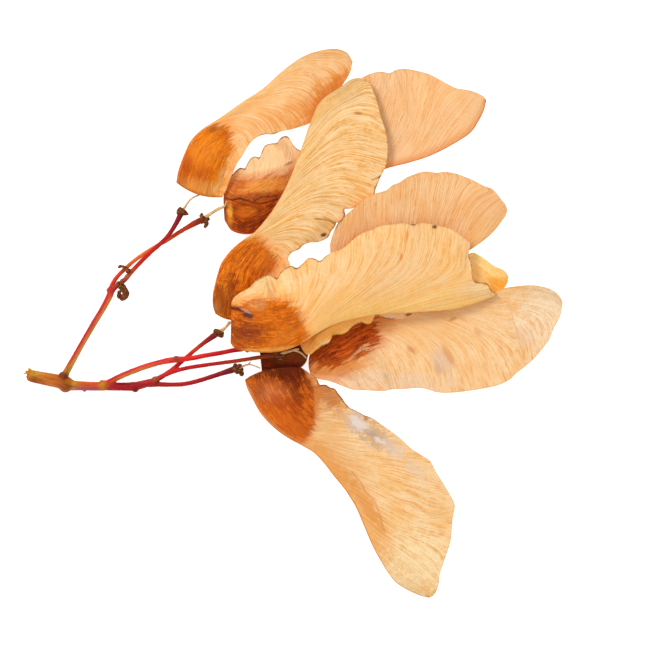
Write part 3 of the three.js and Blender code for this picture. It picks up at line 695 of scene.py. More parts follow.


# The upper one of the two right-hand samaras that the long one covers. Only its rounded wing and the
# dark seed case below the long samara are seen. The seed case's dark browns are partly its own and partly
# painted shade from the long samara over it.
samara(
    "samara_right_upper",
    leading=[
        (262, 373), (275, 376), (290, 373), (301, 367.5), (306, 362), (307.5, 356), (309, 352),
        (315, 342), (323, 333.5), (333, 326), (347, 316), (370, 302), (400, 288), (430, 273),
        (450, 262), (470, 250), (488, 237), (496, 229), (502, 221), (506, 215), (507.5, 210),
    ],
    trailing=[
        (259, 344), (268, 336), (280, 326), (292, 317), (303, 306), (313, 295), (322, 285), (329, 273),
        (332, 262), (331, 253), (330, 245), (332, 237), (335, 229), (339, 222), (345, 216), (352, 210),
        (360, 202.5), (369, 196), (376, 193.5), (387, 190), (392, 185.5), (399.5, 182.4), (407, 177.3),
        (415, 174), (422.5, 171.8), (429, 171.5), (435.5, 172.6), (445.6, 171.8), (456, 173.5),
        (465, 176.7), (475, 181), (484, 185.6), (492.4, 188.8), (497.6, 194), (502, 200), (506, 205),
        (507.5, 210),
    ],
    leading_height=[1.2, 1.3, 1.5, 1.2, 1.5],
    trailing_height=[1.4, 2.2, 3.7, 2.6, 1.5],
    grown=47,
    look={
        "sweep": (0.05, 0.18), "pale": (249, 198, 142), "warm": (248, 186, 118), "vein": (234, 152, 76),
        "gold": (246, 180, 100), "gold_share": 0.4,
        "case": [
            (245, 385), (250, 335), (290, 312), (322, 300), (332, 325), (314, 345), (310, 360),
            (300, 385),
        ],
        # Partly painted shade: the seed case's own browns, darkened for the shade of the long samara over
        # it.
        "case_dark": (76, 12, 0), "case_light": (138, 44, 0), "case_bright": (166, 70, 14),
        "torn": [(0.40, 0.47)], "cut_face": (70, 28, 10),
        "wing_marks": [
            (352, 235, 22, 14, -50, (232, 160, 102), 0.6),
            (450, 218, 50, 12, -20, (240, 178, 118), 0.4),
        ],
        "case_marks": [
            # The first patch here is painted shade, the darkest part of the seed case.
            (290, 372, 24, 7, 0, (70, 18, 2), 0.6), (292, 357, 20, 5, -8, (160, 80, 28), 0.5),
        ],
    },
)


# The tucked samara lies between the long one and the lower right one. Its amber tip and the scalloped
# papery margin beside the lower right seed case are seen. Painted shadow lines lie along the long samara's
# edge over it, and its paper carries painted light and a painted glow that lift it out of that samara's
# shade.
samara(
    "samara_tucked",
    leading=[
        (297, 332), (308, 321), (322, 312), (340, 303), (365, 294), (395, 286), (425, 276),
        (441, 269.5), (455, 262.5), (465, 256.5), (473, 252.5), (483, 257.5), (495, 266), (503, 269.5),
        (507.5, 274), (508, 279),
    ],
    trailing=[
        (306, 354.5), (311, 354), (316, 350), (322, 346.5), (328.5, 343.5), (331, 340), (332.5, 336),
        (337, 335), (342.5, 334.5), (347.5, 332), (351.5, 327.5), (356.5, 324.5), (362, 322.8),
        (367, 324.5), (371, 323.5), (373.5, 320), (375.5, 316), (379, 316), (385, 318.5), (395, 319.5),
        (405, 318), (413, 313), (422, 304), (433, 297), (447, 292.5), (462, 291), (478, 292),
        (492, 293), (502, 290), (507, 284), (508, 279),
    ],
    leading_height=[3.9, 3.9, 2.8, 1.3, 0.3],
    trailing_height=[3.6, 3.2, 2.6, 1.2, 0.3],
    bow=2, seed=1.8, grown=53,
    look={
        "sweep": (0.12, 0.08), "pale": (252, 208, 134), "warm": (252, 196, 102), "vein": (236, 162, 62),
        # On the next line, glow is painted light on this samara's paper.
        "gold": (250, 206, 112), "gold_share": 0.5, "veins": 0.8, "glow": 0.14,
        "blush": (255, 178, 84), "light": (255, 208, 132),
        "case": [(290, 325), (300, 318), (330, 305), (340, 312), (328, 326), (312, 338), (298, 345)],
        "case_dark": (150, 66, 12), "case_light": (220, 120, 40), "case_bright": (244, 166, 84),
        "torn": [(0.05, 0.47)], "cut_face": (190, 104, 40),
        "tints": [
            (338, 333, 42, 14, -30, (248, 178, 84), 0.5), (310, 346, 7, 9, 0, (220, 130, 54), 0.5),
        ],
        "wing_marks": [
            # Partly painted light: the margin's own gold, made brighter to lift it out of the long
            # samara's shade.
            (340, 332, 46, 18, -30, (255, 184, 84), 1.0),
            # The first patch here is a painted shadow: a thin dark line just below the long samara's edge.
            (315, 337, 15, 2.4, -38, (150, 60, 20), 0.7, 0.8), (309, 346, 7, 9, 0, (214, 122, 46), 0.7),
            (394, 318, 18, 4, 0, (236, 190, 150), 0.9), (326, 343, 7, 3, -30, (255, 230, 176), 0.9),
            (354, 326, 11, 2.5, -25, (255, 226, 176), 0.8), (346, 329, 14, 3, -28, (232, 156, 74), 0.5),
            # The second patch here, the pale tip, is partly painted light that lifts the tip out of the
            # long samara's shade.
            (500, 284, 14, 9, -15, (230, 150, 16), 0.95), (488, 262, 22, 8, 35, (255, 222, 146), 0.85),
            # Painted shadow along the long samara's edge.
            (350, 321, 30, 3, -32, (196, 116, 50), 0.5),
        ],
        "marks": [
            # Painted shadow: two dark spots just below the long samara's edge.
            (378, 318, 3, 1.6, 30, (96, 56, 34), 0.8), (409, 314.5, 4, 1.6, -10, (96, 58, 38), 0.8),
        ],
    },
)


# The long samara lies on top. Its seed case is orange with a knocked dark spot near the cut face, a
# painted highlight on the spot's upper rim, and a ruffled cream margin above, and its tip is torn off
# raggedly.
samara(
    "samara_long",
    leading=[
        (231, 343), (235, 348), (244, 350.7), (262, 352.5), (277, 352), (288, 349.5), (299, 345),
        (310, 338), (320, 331.5), (335, 324), (348, 320), (365, 316.5), (385, 313.5), (410, 312.5),
        (435, 311), (455, 309), (472, 304.5), (485, 300), (497, 295),
    ],
    trailing=[
        (231.5, 303), (234, 298), (240, 293), (245, 290.5), (250, 287), (254, 282), (260, 278),
        (268, 275), (273, 276), (277, 278.5), (282, 271), (287, 268), (291, 266), (297, 268),
        (303, 263.5), (309, 258), (315, 259), (320, 261), (326, 256), (333, 252), (340, 250),
        (347, 245.5), (353, 240), (362, 233.5), (372, 230), (381, 226), (392, 224.5), (403, 223.5),
        (413, 224.5), (423, 223), (435, 225), (448, 228), (456, 232), (464, 238), (470, 243),
        (468.5, 250), (468.5, 256), (471, 263), (471.5, 272), (472.5, 279), (477, 282), (487, 283.5),
        (490.5, 289), (497, 295),
    ],
    leading_height=[6.0, 6.0, 5.2, 3.8, 2.6],
    trailing_height=[5.6, 5.0, 4.8, 3.7, 2.6],
    camber=0.4, grown=61,
    look={
        "sweep": (0.3, 0.04), "pale": (251, 206, 146), "warm": (253, 196, 116), "vein": (238, 162, 76),
        "gold": (255, 200, 92), "gold_width": 6.5, "gold_share": 0.75, "waves": 0.06,
        "case": [
            (215, 308), (232, 305), (243, 303), (253, 298), (262, 299), (271, 299), (279, 302),
            (286, 300), (291, 305), (297, 311), (302, 318), (305, 326), (308, 334), (303, 346),
            (290, 362), (215, 362),
        ],
        "case_dark": (146, 40, 0), "case_light": (248, 126, 14), "case_bright": (255, 190, 96),
        "fray": 0.9, "torn": [(0.06, 0.36), (0.8, 1.0)], "case_flecks": 0.5, "case_level": 0.66,
        "cracks": [([(231, 307), (238, 308.5), (244, 311)], 1.4, 0.1)],
        "dents": [
            ((247.5, 314.5), 4.5, 0.35), ((262, 287), 6, 0.2), ((275, 290), 5, -0.15),
            ((252, 292), 4, -0.12),
        ],
        "wing_marks": [
            (262, 289, 24, 12, -20, (252, 208, 138), 0.85), (254, 303, 10, 5, -30, (206, 130, 62), 0.7),
            (248, 294, 6, 4, -30, (255, 226, 166), 0.7), (258, 281, 3, 9, 20, (255, 232, 184), 0.6),
            (272, 290, 6, 8, 0, (224, 170, 104), 0.6), (320, 312, 26, 14, -30, (250, 184, 98), 0.5),
            (478, 290, 16, 8, 10, (238, 206, 154), 0.7), (380, 262, 60, 26, -10, (250, 206, 148), 0.4),
        ],
        "case_marks": [
            (246, 333, 18, 11, 8, (142, 56, 24), 0.85, 0.8), (238, 309, 9, 3, 12, (140, 40, 16), 0.75),
            (258, 306, 8, 5, 0, (236, 180, 112), 0.5), (238, 344, 12, 5, 10, (206, 96, 26), 0.4),
            (272, 316, 30, 8, 14, (226, 116, 26), 0.4), (266, 350, 36, 2.5, -4, (252, 176, 84), 0.7),
            (284, 336, 14, 8, -30, (240, 136, 40), 0.5),
        ],
        "marks": [
            (248, 315, 5.2, 3.4, 24, (84, 46, 40), 0.9, 0.6),
            # The first patch here is a painted highlight: a whitish line on the upper rim of the knocked
            # spot's dent.
            (246, 311, 5, 1.1, 24, (222, 182, 160), 0.6, 0.7), (413, 224, 3, 2, 0, (96, 66, 44), 0.8),
            (434.5, 227, 2.6, 2, 0, (80, 62, 48), 0.85), (407, 236, 1.4, 5, 5, (232, 138, 58), 0.7),
            (401, 257, 1.4, 4, 5, (226, 130, 56), 0.6),
        ],
    },
)


# The lower right samara. A dark frayed seed case fills the corner below the tucked one, and the broad
# pale wing carries a grey smudge and a few rust flecks.
samara(
    "samara_right_lower",
    leading=[
        (310, 354), (315, 347), (322, 340.5), (331, 334), (343, 328.5), (356, 320.5), (370, 315),
        (390, 311), (420, 306.5), (450, 301.5), (480, 295.5), (497, 291), (505, 288), (518, 286),
        (532, 285), (545, 287), (554, 290.5), (560, 296), (562.5, 303),
    ],
    trailing=[
        (311, 375), (318, 379), (327, 380.5), (336, 383.5), (345, 387), (352, 389.5), (368, 390.5),
        (385, 391), (392, 389.5), (405, 389), (420, 388), (428, 389.5), (436, 392), (446, 393),
        (460, 392), (472, 390.5), (484, 388.5), (496, 386), (504, 383), (511, 379), (517, 373),
        (525, 367), (534, 359), (542, 350), (550, 339), (554, 329), (559, 320), (562, 311),
        (562.5, 303),
    ],
    leading_height=[1.3, 1.2, 1.1, 1.5, 0.3],
    trailing_height=[1.3, 0.8, 0.4, 0.5, 0.3],
    bow=2, camber=0.5, grown=71,
    look={
        "sweep": (0.27, 0.02), "pale": (255, 214, 160), "warm": (253, 200, 136), "vein": (238, 166, 92),
        "gold": (250, 192, 110), "gold_width": 5.0, "gold_share": 0.4,
        "case": [
            (300, 350), (325, 320), (355, 300), (376, 306), (379, 320), (379, 334), (375, 343),
            (368, 349), (358, 357), (346, 364), (331, 368), (317, 366), (300, 363),
        ],
        "case_dark": (108, 22, 0), "case_light": (216, 90, 10), "case_bright": (244, 150, 60),
        "fray": 1.5, "cut_face": (120, 60, 24), "case_flecks": 0.5,
        "tints": [
            (334, 369, 30, 8, -4, (240, 156, 68), 0.6), (388, 322, 10, 10, 0, (226, 146, 70), 0.5),
        ],
        "wing_marks": [
            (545, 312, 26, 36, 20, (255, 234, 200), 0.9), (420, 330, 44, 16, 20, (250, 190, 112), 0.5),
            (330, 373, 26, 7, 8, (242, 162, 70), 0.85), (336, 366, 32, 9, -10, (242, 160, 76), 0.85),
            (376, 324, 10, 12, 0, (220, 140, 60), 0.6), (380, 381, 62, 10, 4, (244, 214, 184), 0.8),
        ],
        "marks": [
            (442, 362, 8, 15, -28, (226, 188, 160), 0.6, 0.6),
            (449, 356, 3, 11, -30, (222, 144, 82), 0.6, 0.5),
            (438, 368, 3, 7, -20, (214, 164, 132), 0.5, 0.5),
            (412, 350, 5, 2.4, 40, (216, 136, 68), 0.6, 0.8),
            (386, 377, 2.2, 4, -30, (216, 174, 110), 0.5, 0.8),
            (478, 332, 3, 5, -35, (226, 146, 78), 0.4), (524, 338, 12, 8, 30, (240, 196, 156), 0.5),
            (453, 319, 4, 1.6, -20, (180, 110, 60), 0.5),
        ],
    },
)


# The bottom samara hangs away to the lower right. A crease follows its golden leading edge, a white
# patch of mould sits below the torn margin, and the seed case is rust brown, with painted shade on its top
# below the long samara's edge.
samara(
    "samara_bottom",
    leading=[
        (245, 380), (247, 388), (252, 398), (259, 411), (267, 421), (278, 431), (290, 439), (303, 446),
        (313, 452), (323, 462), (333, 475), (345, 490), (355, 506), (364, 526), (372, 545), (380, 560),
        (388, 573), (396, 583), (405, 589), (415, 594), (423, 597), (430, 597.5),
    ],
    trailing=[
        (302, 368), (309, 373), (317, 379), (320, 385), (326, 385), (330, 387.5), (335, 389),
        (338, 393), (342, 398), (346, 404), (351, 408.5), (357, 411), (364, 415), (372, 418),
        (380, 423.5), (392, 432), (402, 440), (411, 448.5), (421, 455), (430, 461), (436, 472),
        (443, 483), (449, 493), (454, 502), (455, 507), (453, 518), (452, 530), (451, 541), (448, 551),
        (444, 563), (440, 575), (439, 584), (437, 591), (433.5, 596), (430, 597.5),
    ],
    leading_height=[3.4, 1.6, 0.8, 0.6, 0.3],
    trailing_height=[3.6, 2.2, 1.1, 0.9, 0.3],
    bow=6, camber=0.6, grown=83,
    look={
        "sweep": (0.12, 0.19), "pale": (255, 222, 170), "warm": (252, 202, 132), "vein": (234, 160, 78),
        "gold": (238, 162, 74), "gold_width": 5.5, "gold_share": 0.75, "veins": 1.25, "waves": 0.1,
        "case": [
            (230, 372), (300, 355), (309, 374), (312, 384), (317, 398), (317.5, 413), (314.5, 427),
            (309.5, 437), (303, 443.5), (294, 440.5), (279, 431), (266, 419.5), (256, 405),
            (248.5, 391.5), (243, 384), (230, 385),
        ],
        "case_dark": (164, 50, 0), "case_light": (240, 120, 26), "case_bright": (250, 176, 100),
        "fray": 0.6, "torn": [(0.05, 0.32)], "cut_face": (100, 48, 20),
        "cracks": [
            ([(352, 472), (360, 481), (365, 492), (375, 502), (380, 516), (384, 532)], 1.5, 0.02),
            ([(345, 489), (355, 504), (363, 521), (370, 539)], 1.2, 0.05),
        ],
        "crack": ((206, 116, 44), 0.55), "crack_edge": (0.35, 1.2), "raggedness": 1.6, "case_flecks": 0.12,
        "front_line": 0.75, "front_colour": (200, 112, 40),
        "tints": [
            (327, 394, 20, 10, 44, (198, 114, 52), 0.7), (312, 393, 6, 20, -12, (208, 124, 58), 0.65),
            (332, 468, 8, 30, -38, (238, 156, 70), 0.5), (366, 504, 5, 34, -33, (230, 146, 62), 0.5),
        ],
        "wing_marks": [
            (328, 395, 22, 12, 42, (208, 128, 66), 0.85), (322, 388, 8, 4, 20, (160, 90, 46), 0.6),
            (314, 392, 7, 22, -12, (218, 142, 74), 0.7), (334, 420, 18, 26, 30, (240, 174, 108), 0.4),
            (330, 462, 12, 30, -40, (240, 158, 72), 0.6), (362, 500, 8, 38, -33, (238, 156, 70), 0.7),
            (384, 548, 7, 24, -24, (246, 180, 100), 0.6), (308, 452, 14, 3, 36, (196, 104, 40), 0.6),
            (412, 570, 28, 32, 30, (255, 236, 184), 0.85), (345, 455, 26, 12, 50, (236, 168, 98), 0.5),
            (420, 478, 30, 14, 50, (246, 206, 152), 0.5),
        ],
        "case_marks": [
            # Painted shade: the seed case's top lies darkest below the long samara's edge.
            (286, 368, 38, 15, 8, (76, 16, 0), 0.93, 0.7),
            (294, 386, 8, 20, -10, (104, 30, 2), 0.75, 0.8),
            (270, 393, 16, 9, 10, (206, 124, 76), 0.6, 0.8), (259, 388, 6, 8, 0, (150, 62, 20), 0.5),
            (312, 385, 6, 12, -10, (120, 50, 14), 0.6), (288, 424, 22, 8, 35, (232, 112, 26), 0.6),
            (285, 404, 16, 8, 30, (190, 70, 10), 0.5), (318, 410, 3, 20, -4, (250, 190, 110), 0.7),
        ],
        "marks": [
            (358, 423, 14, 10, 40, (212, 186, 168), 0.8, 0.3),
            (376, 437, 19, 9, 34, (206, 166, 132), 0.75, 0.3),
            (361, 425, 9, 5, 30, (246, 236, 230), 0.6, 0.4),
            (353, 418, 5, 3, 20, (240, 222, 208), 0.6, 0.4),
            (392, 448, 13, 6, 35, (230, 202, 180), 0.7, 0.4),
            (366, 418, 2.4, 3, 0, (178, 116, 60), 0.7),
            (415, 470, 12, 5, 40, (236, 204, 172), 0.6, 0.8),
            (371, 434, 9, 2.4, 30, (186, 156, 138), 0.6, 0.4),
            (380, 441, 6, 2, 30, (246, 236, 230), 0.6, 0.4),
        ],
    },
)


# The stalk. One branched stem of young wood, torn off its twig at the foot, with a ring scar at each
# joint and a swelling where a dead flower fell. Its bark is olive brown at the foot and red above.
DEEPENING = 0.28


def redder(shades):
    """Colours as listed, with their green and blue lowered by a share of the weaker one."""
    return [
        (red, *(round(c - DEEPENING * min(red, green, blue)) for c in (green, blue)))
        for red, green, blue in shades
    ]


# Each branch: its places, as pixel x, pixel y, height and radius in millimetres, then its colours as
# seen at those places, on the left side and on the right.
BRANCHES = {
    "foot": (
        [
            (27, 375.2, 1.4, 1.0), (33, 376.4, 1.32, 1.14), (46, 379, 1.3, 1.18),
            (58, 381.5, 1.3, 1.22), (66, 383.6, 1.32, 1.28), (69, 384.7, 1.3, 1.1),
            (72, 385.5, 1.3, 0.94), (76, 385.8, 1.28, 0.85), (84, 386, 1.25, 0.82),
            (97, 386.3, 1.25, 0.82), (103, 386, 1.25, 0.9), (109, 385.8, 1.3, 0.78),
        ],
        [
            (220, 140, 20), (205, 160, 60), (198, 110, 30), (184, 94, 16), (172, 90, 16),
            (190, 120, 20), (212, 168, 50), (206, 110, 20), (208, 88, 10), (206, 76, 10),
            (210, 156, 40), (200, 50, 30),
        ],
        [
            (206, 120, 16), (140, 70, 10), (200, 112, 46), (198, 108, 44), (140, 70, 20), (150, 84, 40),
            (200, 150, 80), (190, 104, 100), (176, 76, 90), (180, 80, 96), (200, 130, 50),
            (150, 20, 34),
        ],
    ),
    "upper": (
        [
            (63, 378, 1.5, 0.8), (66.2, 372, 1.7, 0.62), (75, 356, 1.85, 0.56), (84, 340, 1.95, 0.55),
            (93.2, 324.4, 2.05, 0.55), (101.9, 310, 2.15, 0.56), (108.5, 297.5, 2.2, 0.6),
            (111.5, 290.5, 2.25, 0.66),
        ],
        redder([
            (120, 60, 20), (196, 130, 40), (196, 40, 36), (200, 38, 42), (198, 36, 46), (206, 46, 52),
            (204, 50, 62), (200, 66, 60),
        ]),
        [
            (110, 45, 15), (190, 160, 50), (214, 150, 76), (216, 150, 70), (206, 140, 60),
            (214, 136, 60), (226, 130, 50), (206, 56, 56),
        ],
    ),
    "to_top_left": (
        [
            (110.5, 292, 2.25, 0.5), (116, 286.5, 2.45, 0.46), (124.5, 280, 2.6, 0.44),
            (130.5, 273, 2.7, 0.42), (139.6, 263, 2.8, 0.4), (149.6, 253, 2.85, 0.4),
            (159.4, 244.4, 2.85, 0.4), (167.8, 236, 2.75, 0.41), (175, 225, 2.55, 0.44),
            (181.4, 212.8, 2.26, 0.56),
        ],
        redder([
            (190, 60, 70), (180, 60, 60), (176, 66, 50), (186, 96, 70), (196, 44, 44), (200, 32, 20),
            (190, 30, 24), (170, 24, 30), (150, 20, 36), (120, 24, 34),
        ]),
        redder([
            (200, 60, 60), (176, 50, 40), (190, 70, 40), (214, 90, 30), (200, 50, 26), (204, 40, 20),
            (196, 40, 24), (176, 30, 26), (140, 20, 36), (110, 20, 30),
        ]),
    ),
    "to_top_right": (
        [
            (110, 292, 2.1, 0.5), (111.5, 286, 1.85, 0.44), (114.8, 279.4, 1.6, 0.4),
            (121.6, 271.6, 1.45, 0.38), (131.2, 262.8, 1.35, 0.37), (141, 255.3, 1.3, 0.37),
            (152.2, 248.2, 1.28, 0.37), (169, 238.5, 1.3, 0.38), (184, 229, 1.45, 0.41),
            (202.6, 219.0, 1.65, 0.6),
        ],
        redder([
            (214, 70, 40), (226, 80, 60), (234, 84, 56), (234, 90, 50), (244, 130, 66), (244, 150, 70),
            (236, 120, 60), (226, 96, 40), (196, 60, 24), (130, 40, 20),
        ]),
        redder([
            (206, 60, 50), (220, 66, 44), (224, 70, 40), (214, 70, 36), (236, 110, 50), (240, 120, 44),
            (230, 90, 40), (222, 84, 30), (206, 70, 20), (130, 34, 16),
        ]),
    ),
    "to_right_upper": (
        [
            (101, 386, 1.35, 0.7), (107, 383, 1.55, 0.55), (121.4, 375.8, 1.8, 0.52),
            (141, 368, 2.1, 0.5), (160.6, 362.2, 2.55, 0.5), (176, 359.6, 2.85, 0.56),
            (189, 358.6, 3.0, 0.45), (205, 355.6, 3.05, 0.42), (220, 353, 3.05, 0.42),
            (233, 350.4, 3.0, 0.43), (245.6, 348.4, 2.95, 0.5),
        ],
        redder([
            (196, 120, 40), (200, 40, 50), (206, 50, 66), (228, 66, 66), (230, 60, 58), (224, 66, 60),
            (228, 64, 56), (226, 50, 52), (214, 34, 44), (200, 26, 36), (170, 20, 30),
        ]),
        [
            (190, 90, 20), (206, 60, 22), (222, 140, 54), (220, 136, 54), (230, 90, 60), (222, 40, 40),
            (226, 30, 30), (220, 22, 32), (206, 16, 28), (190, 14, 26), (160, 14, 24),
        ],
    ),
    "lower": (
        [
            (99, 386.3, 1.25, 0.75), (118, 386.6, 1.4, 0.74), (134, 386.4, 1.6, 0.78),
            (146, 383.6, 1.75, 0.7), (157, 381.2, 1.85, 0.72),
        ],
        redder([(170, 50, 50), (150, 20, 30), (150, 24, 34), (190, 60, 66), (190, 60, 60)]),
        redder([(190, 90, 90), (176, 26, 44), (170, 24, 40), (160, 30, 40), (150, 26, 34)]),
    ),
    "to_long": (
        [
            (154, 381, 1.85, 0.55), (166, 374, 1.8, 0.42), (176, 366.4, 1.72, 0.4),
            (187, 356.8, 1.75, 0.4), (196, 349, 2.1, 0.4), (205, 342, 2.6, 0.43),
            (217.2, 333.6, 3.05, 0.6),
        ],
        redder([
            (186, 70, 60), (206, 50, 46), (214, 36, 30), (222, 40, 30), (206, 70, 34), (170, 44, 40),
            (130, 34, 46),
        ]),
        redder([
            (180, 60, 40), (196, 40, 30), (206, 30, 20), (206, 36, 20), (196, 84, 24), (160, 40, 24),
            (110, 24, 40),
        ]),
    ),
    "to_pair": (
        [
            (154, 381, 1.85, 0.52), (165, 375, 1.95, 0.4), (178, 370.2, 2.05, 0.38),
            (192, 367.2, 2.2, 0.36), (209, 364.6, 2.6, 0.36), (225, 362.4, 3.1, 0.36),
            (242, 360, 3.6, 0.36), (259, 357.4, 3.85, 0.37), (276, 355, 3.86, 0.5),
        ],
        redder([
            (190, 70, 60), (210, 60, 60), (214, 50, 56), (204, 40, 50), (196, 30, 36), (180, 26, 30),
            (166, 50, 26), (150, 70, 30), (130, 70, 30),
        ]),
        redder([
            (160, 40, 40), (190, 40, 40), (190, 34, 44), (176, 24, 30), (176, 20, 20), (164, 50, 16),
            (160, 72, 20), (150, 70, 24), (120, 60, 24),
        ]),
    ),
    "to_bottom": (
        [
            (146, 384.5, 1.75, 0.55), (157, 384.4, 1.65, 0.45), (170, 384.8, 1.55, 0.42),
            (183, 384.2, 1.52, 0.42), (197, 381.2, 1.6, 0.42), (210, 377.2, 1.75, 0.43),
            (221, 373.6, 1.9, 0.46), (235, 369, 2.2, 0.62),
        ],
        redder([
            (170, 50, 50), (176, 40, 36), (184, 44, 34), (184, 40, 40), (176, 30, 40), (160, 20, 40),
            (140, 18, 36), (110, 30, 34),
        ]),
        redder([
            (160, 40, 40), (170, 34, 34), (180, 34, 30), (184, 34, 36), (170, 24, 36), (150, 18, 40),
            (130, 16, 34), (90, 24, 26),
        ]),
    ),
}
# Swellings and scars: pixel x, pixel y, height and radius, and the colour
SWELLINGS = [
    ((65, 386, 1.25, 1.2), (160, 86, 28)), ((63, 377, 1.7, 0.95), (112, 50, 20)),
    ((103, 385, 1.4, 0.92), (204, 140, 30)), ((101.4, 382, 1.55, 0.42), (176, 90, 30)),
    ((84, 390, 1.15, 0.36), (150, 90, 110)), ((135, 389, 1.5, 0.62), (96, 36, 22)),
    ((155, 379.6, 2.05, 0.6), (160, 96, 50)), ((176, 358.4, 2.95, 0.5), (130, 80, 56)),
    ((111, 290, 2.25, 0.75), (196, 50, 60)), ((108.6, 290, 2.35, 0.45), (204, 84, 24)),
    ((122.6, 281, 2.55, 0.5), (150, 84, 60)), ((127, 277, 2.6, 0.48), (180, 110, 70)),
]
# Splinters of the torn foot: root and point
SPLINTERS = [
    ((33, 371.5, 1.9), (22.5, 373.5, 2.1)), ((33, 377, 1.6), (25, 376, 1.2)),
    ((34, 373, 2.3), (28, 368.5, 2.5)), ((35, 379, 1.2), (29.5, 380.5, 0.7)),
    ((32, 375, 1.4), (24.5, 371, 1.3)),
]
SPLINTER_COLOUR = (226, 150, 34)
TORN_FOOT = 32  # the pixel x up to which the foot is frayed


def spine(path, per_span):
    """The middle line of a stem, its radius and its direction, in metres."""
    line = smooth_line([on_table(x, y, z) for x, y, z, _ in path], per_span)
    radius = np.interp(np.linspace(0, len(path) - 1, len(line)), range(len(path)), [p[3] for p in path])
    ahead = np.gradient(line, axis=0)
    ahead /= np.linalg.norm(ahead, axis=1)[:, None]
    return line, radius / 1000, ahead


def stem(path, sides=14, per_span=10, flat=1.0):
    """A round stem of changing radius: a grid rolled up along a line, with its ends rounded."""
    line, radius, ahead = spine(path, per_span)
    piece, u, v = flat_grid(len(line) - 1, sides)
    step = (u * (len(line) - 1)).round().astype(int)
    angle = v * 2 * math.pi
    length = np.concatenate([[0], np.cumsum(np.linalg.norm(np.diff(line, axis=0), axis=1))])
    to_end = np.minimum(length, length[-1] - length)
    round_end = np.sqrt(1 - (1 - np.clip(to_end / np.maximum(radius, 1e-6), 0, 1)) ** 2)
    side = np.stack([-ahead[:, 1], ahead[:, 0], np.zeros(len(line))], axis=1)
    side /= np.maximum(np.linalg.norm(side, axis=1), 1e-9)[:, None]
    up = np.cross(ahead, side)
    across = (radius * round_end)[step, None]
    ring = side[step] * np.cos(angle)[:, None] + up[step] * np.sin(angle)[:, None] * flat
    piece.data.vertices.foreach_set("co", (line[step] + ring * across).ravel())
    piece.data.update()
    face_outwards(merge=1e-6)
    return piece


def one_skin(pieces, name, voxel, smoothing):
    """Joins pieces that run into each other into one closed skin."""
    bpy.ops.object.select_all(action="DESELECT")
    for piece in pieces:
        piece.select_set(True)
    bpy.context.view_layer.objects.active = pieces[0]
    bpy.ops.object.join()
    whole = bpy.context.object
    whole.name = whole.data.name = name + "_piece"
    bpy.ops.object.transform_apply(location=True, rotation=True, scale=True)
    grown_together = whole.modifiers.new("skin", "REMESH")
    grown_together.mode = "VOXEL"
    grown_together.voxel_size = voxel / 1000
    bpy.ops.object.modifier_apply(modifier="skin")
    worn = whole.modifiers.new("smooth", "SMOOTH")
    worn.factor, worn.iterations = 0.5, smoothing
    bpy.ops.object.modifier_apply(modifier="smooth")
    bpy.ops.object.shade_smooth()
    return whole


def bark_marks(piece):
    """Gives each point of the bark its colour, and its place along and round its branch."""
    places = points_of(piece)
    total = np.zeros((len(places), 4))
    nearest = np.zeros(len(places))
    run, turn = np.zeros(len(places)), np.zeros(len(places))
    for start, (path, left, right) in enumerate(BRANCHES.values()):
        line, radius, ahead = spine(path, 6)
        stations = np.linspace(0, len(path) - 1, len(line))
        sides = [
            np.stack([np.interp(stations, range(len(path)), [c[k] for c in shades]) for k in range(3)], 1)
            for shades in (left, right)
        ]
        gone = 0
        for i, (centre, r, way) in enumerate(zip(line, radius, ahead)):
            gone += np.linalg.norm(centre - line[i - 1]) * 1000 if i else 0
            away = places - centre
            far = np.linalg.norm(away, axis=1)
            weight = np.exp(-(far - r) / 0.0001) + 1e-12
            aside = np.array([-way[1], way[0], 0])
            lateral = np.clip(0.5 + (away @ aside) / (0.9 * r), 0, 1)[:, None]
            total[:, :3] += weight[:, None] * (sides[0][i] * lateral + sides[1][i] * (1 - lateral))
            total[:, 3] += weight
            closer = weight > nearest
            nearest[closer] = weight[closer]
            run[closer] = (gone + 7 * start + 1000 * (away @ way))[closer]
            turn[closer] = np.arctan2(away[:, 2], away @ aside)[closer]
    scars = [(place, colour, 1.0) for place, colour in SWELLINGS]
    scars += [((x, y, z, 0.2), SPLINTER_COLOUR, 8.0) for _, (x, y, z) in SPLINTERS]
    scars += [((31, 374, 1.6, 0.5), (150, 84, 20), 1.0)]
    for (x, y, z, r), colour, power in scars:
        far = np.linalg.norm(places - np.array(on_table(x, y, z)), axis=1) * 1000
        weight = power * 3 * np.exp(-np.maximum(far - r, 0) / 0.12)
        total += weight[:, None] * np.array([*colour, 1])
    seen = total[:, :3] / total[:, 3:] / 255
    rgba = np.concatenate([linear(seen), np.ones((len(places), 1))], axis=1).astype(np.float32)
    piece.data.attributes.new("bark", "FLOAT_COLOR", "POINT").data.foreach_set("color", rgba.ravel())
    note(piece, {"run": run, "turn": turn})
    return run, turn


def raise_surface(piece, height):
    """Moves each point out along its normal by a height in millimetres."""
    outwards = np.empty(len(piece.data.vertices) * 3)
    piece.data.vertices.foreach_get("normal", outwards)
    lay(piece, points_of(piece) + outwards.reshape(-1, 3) * height[:, None] / 1000)


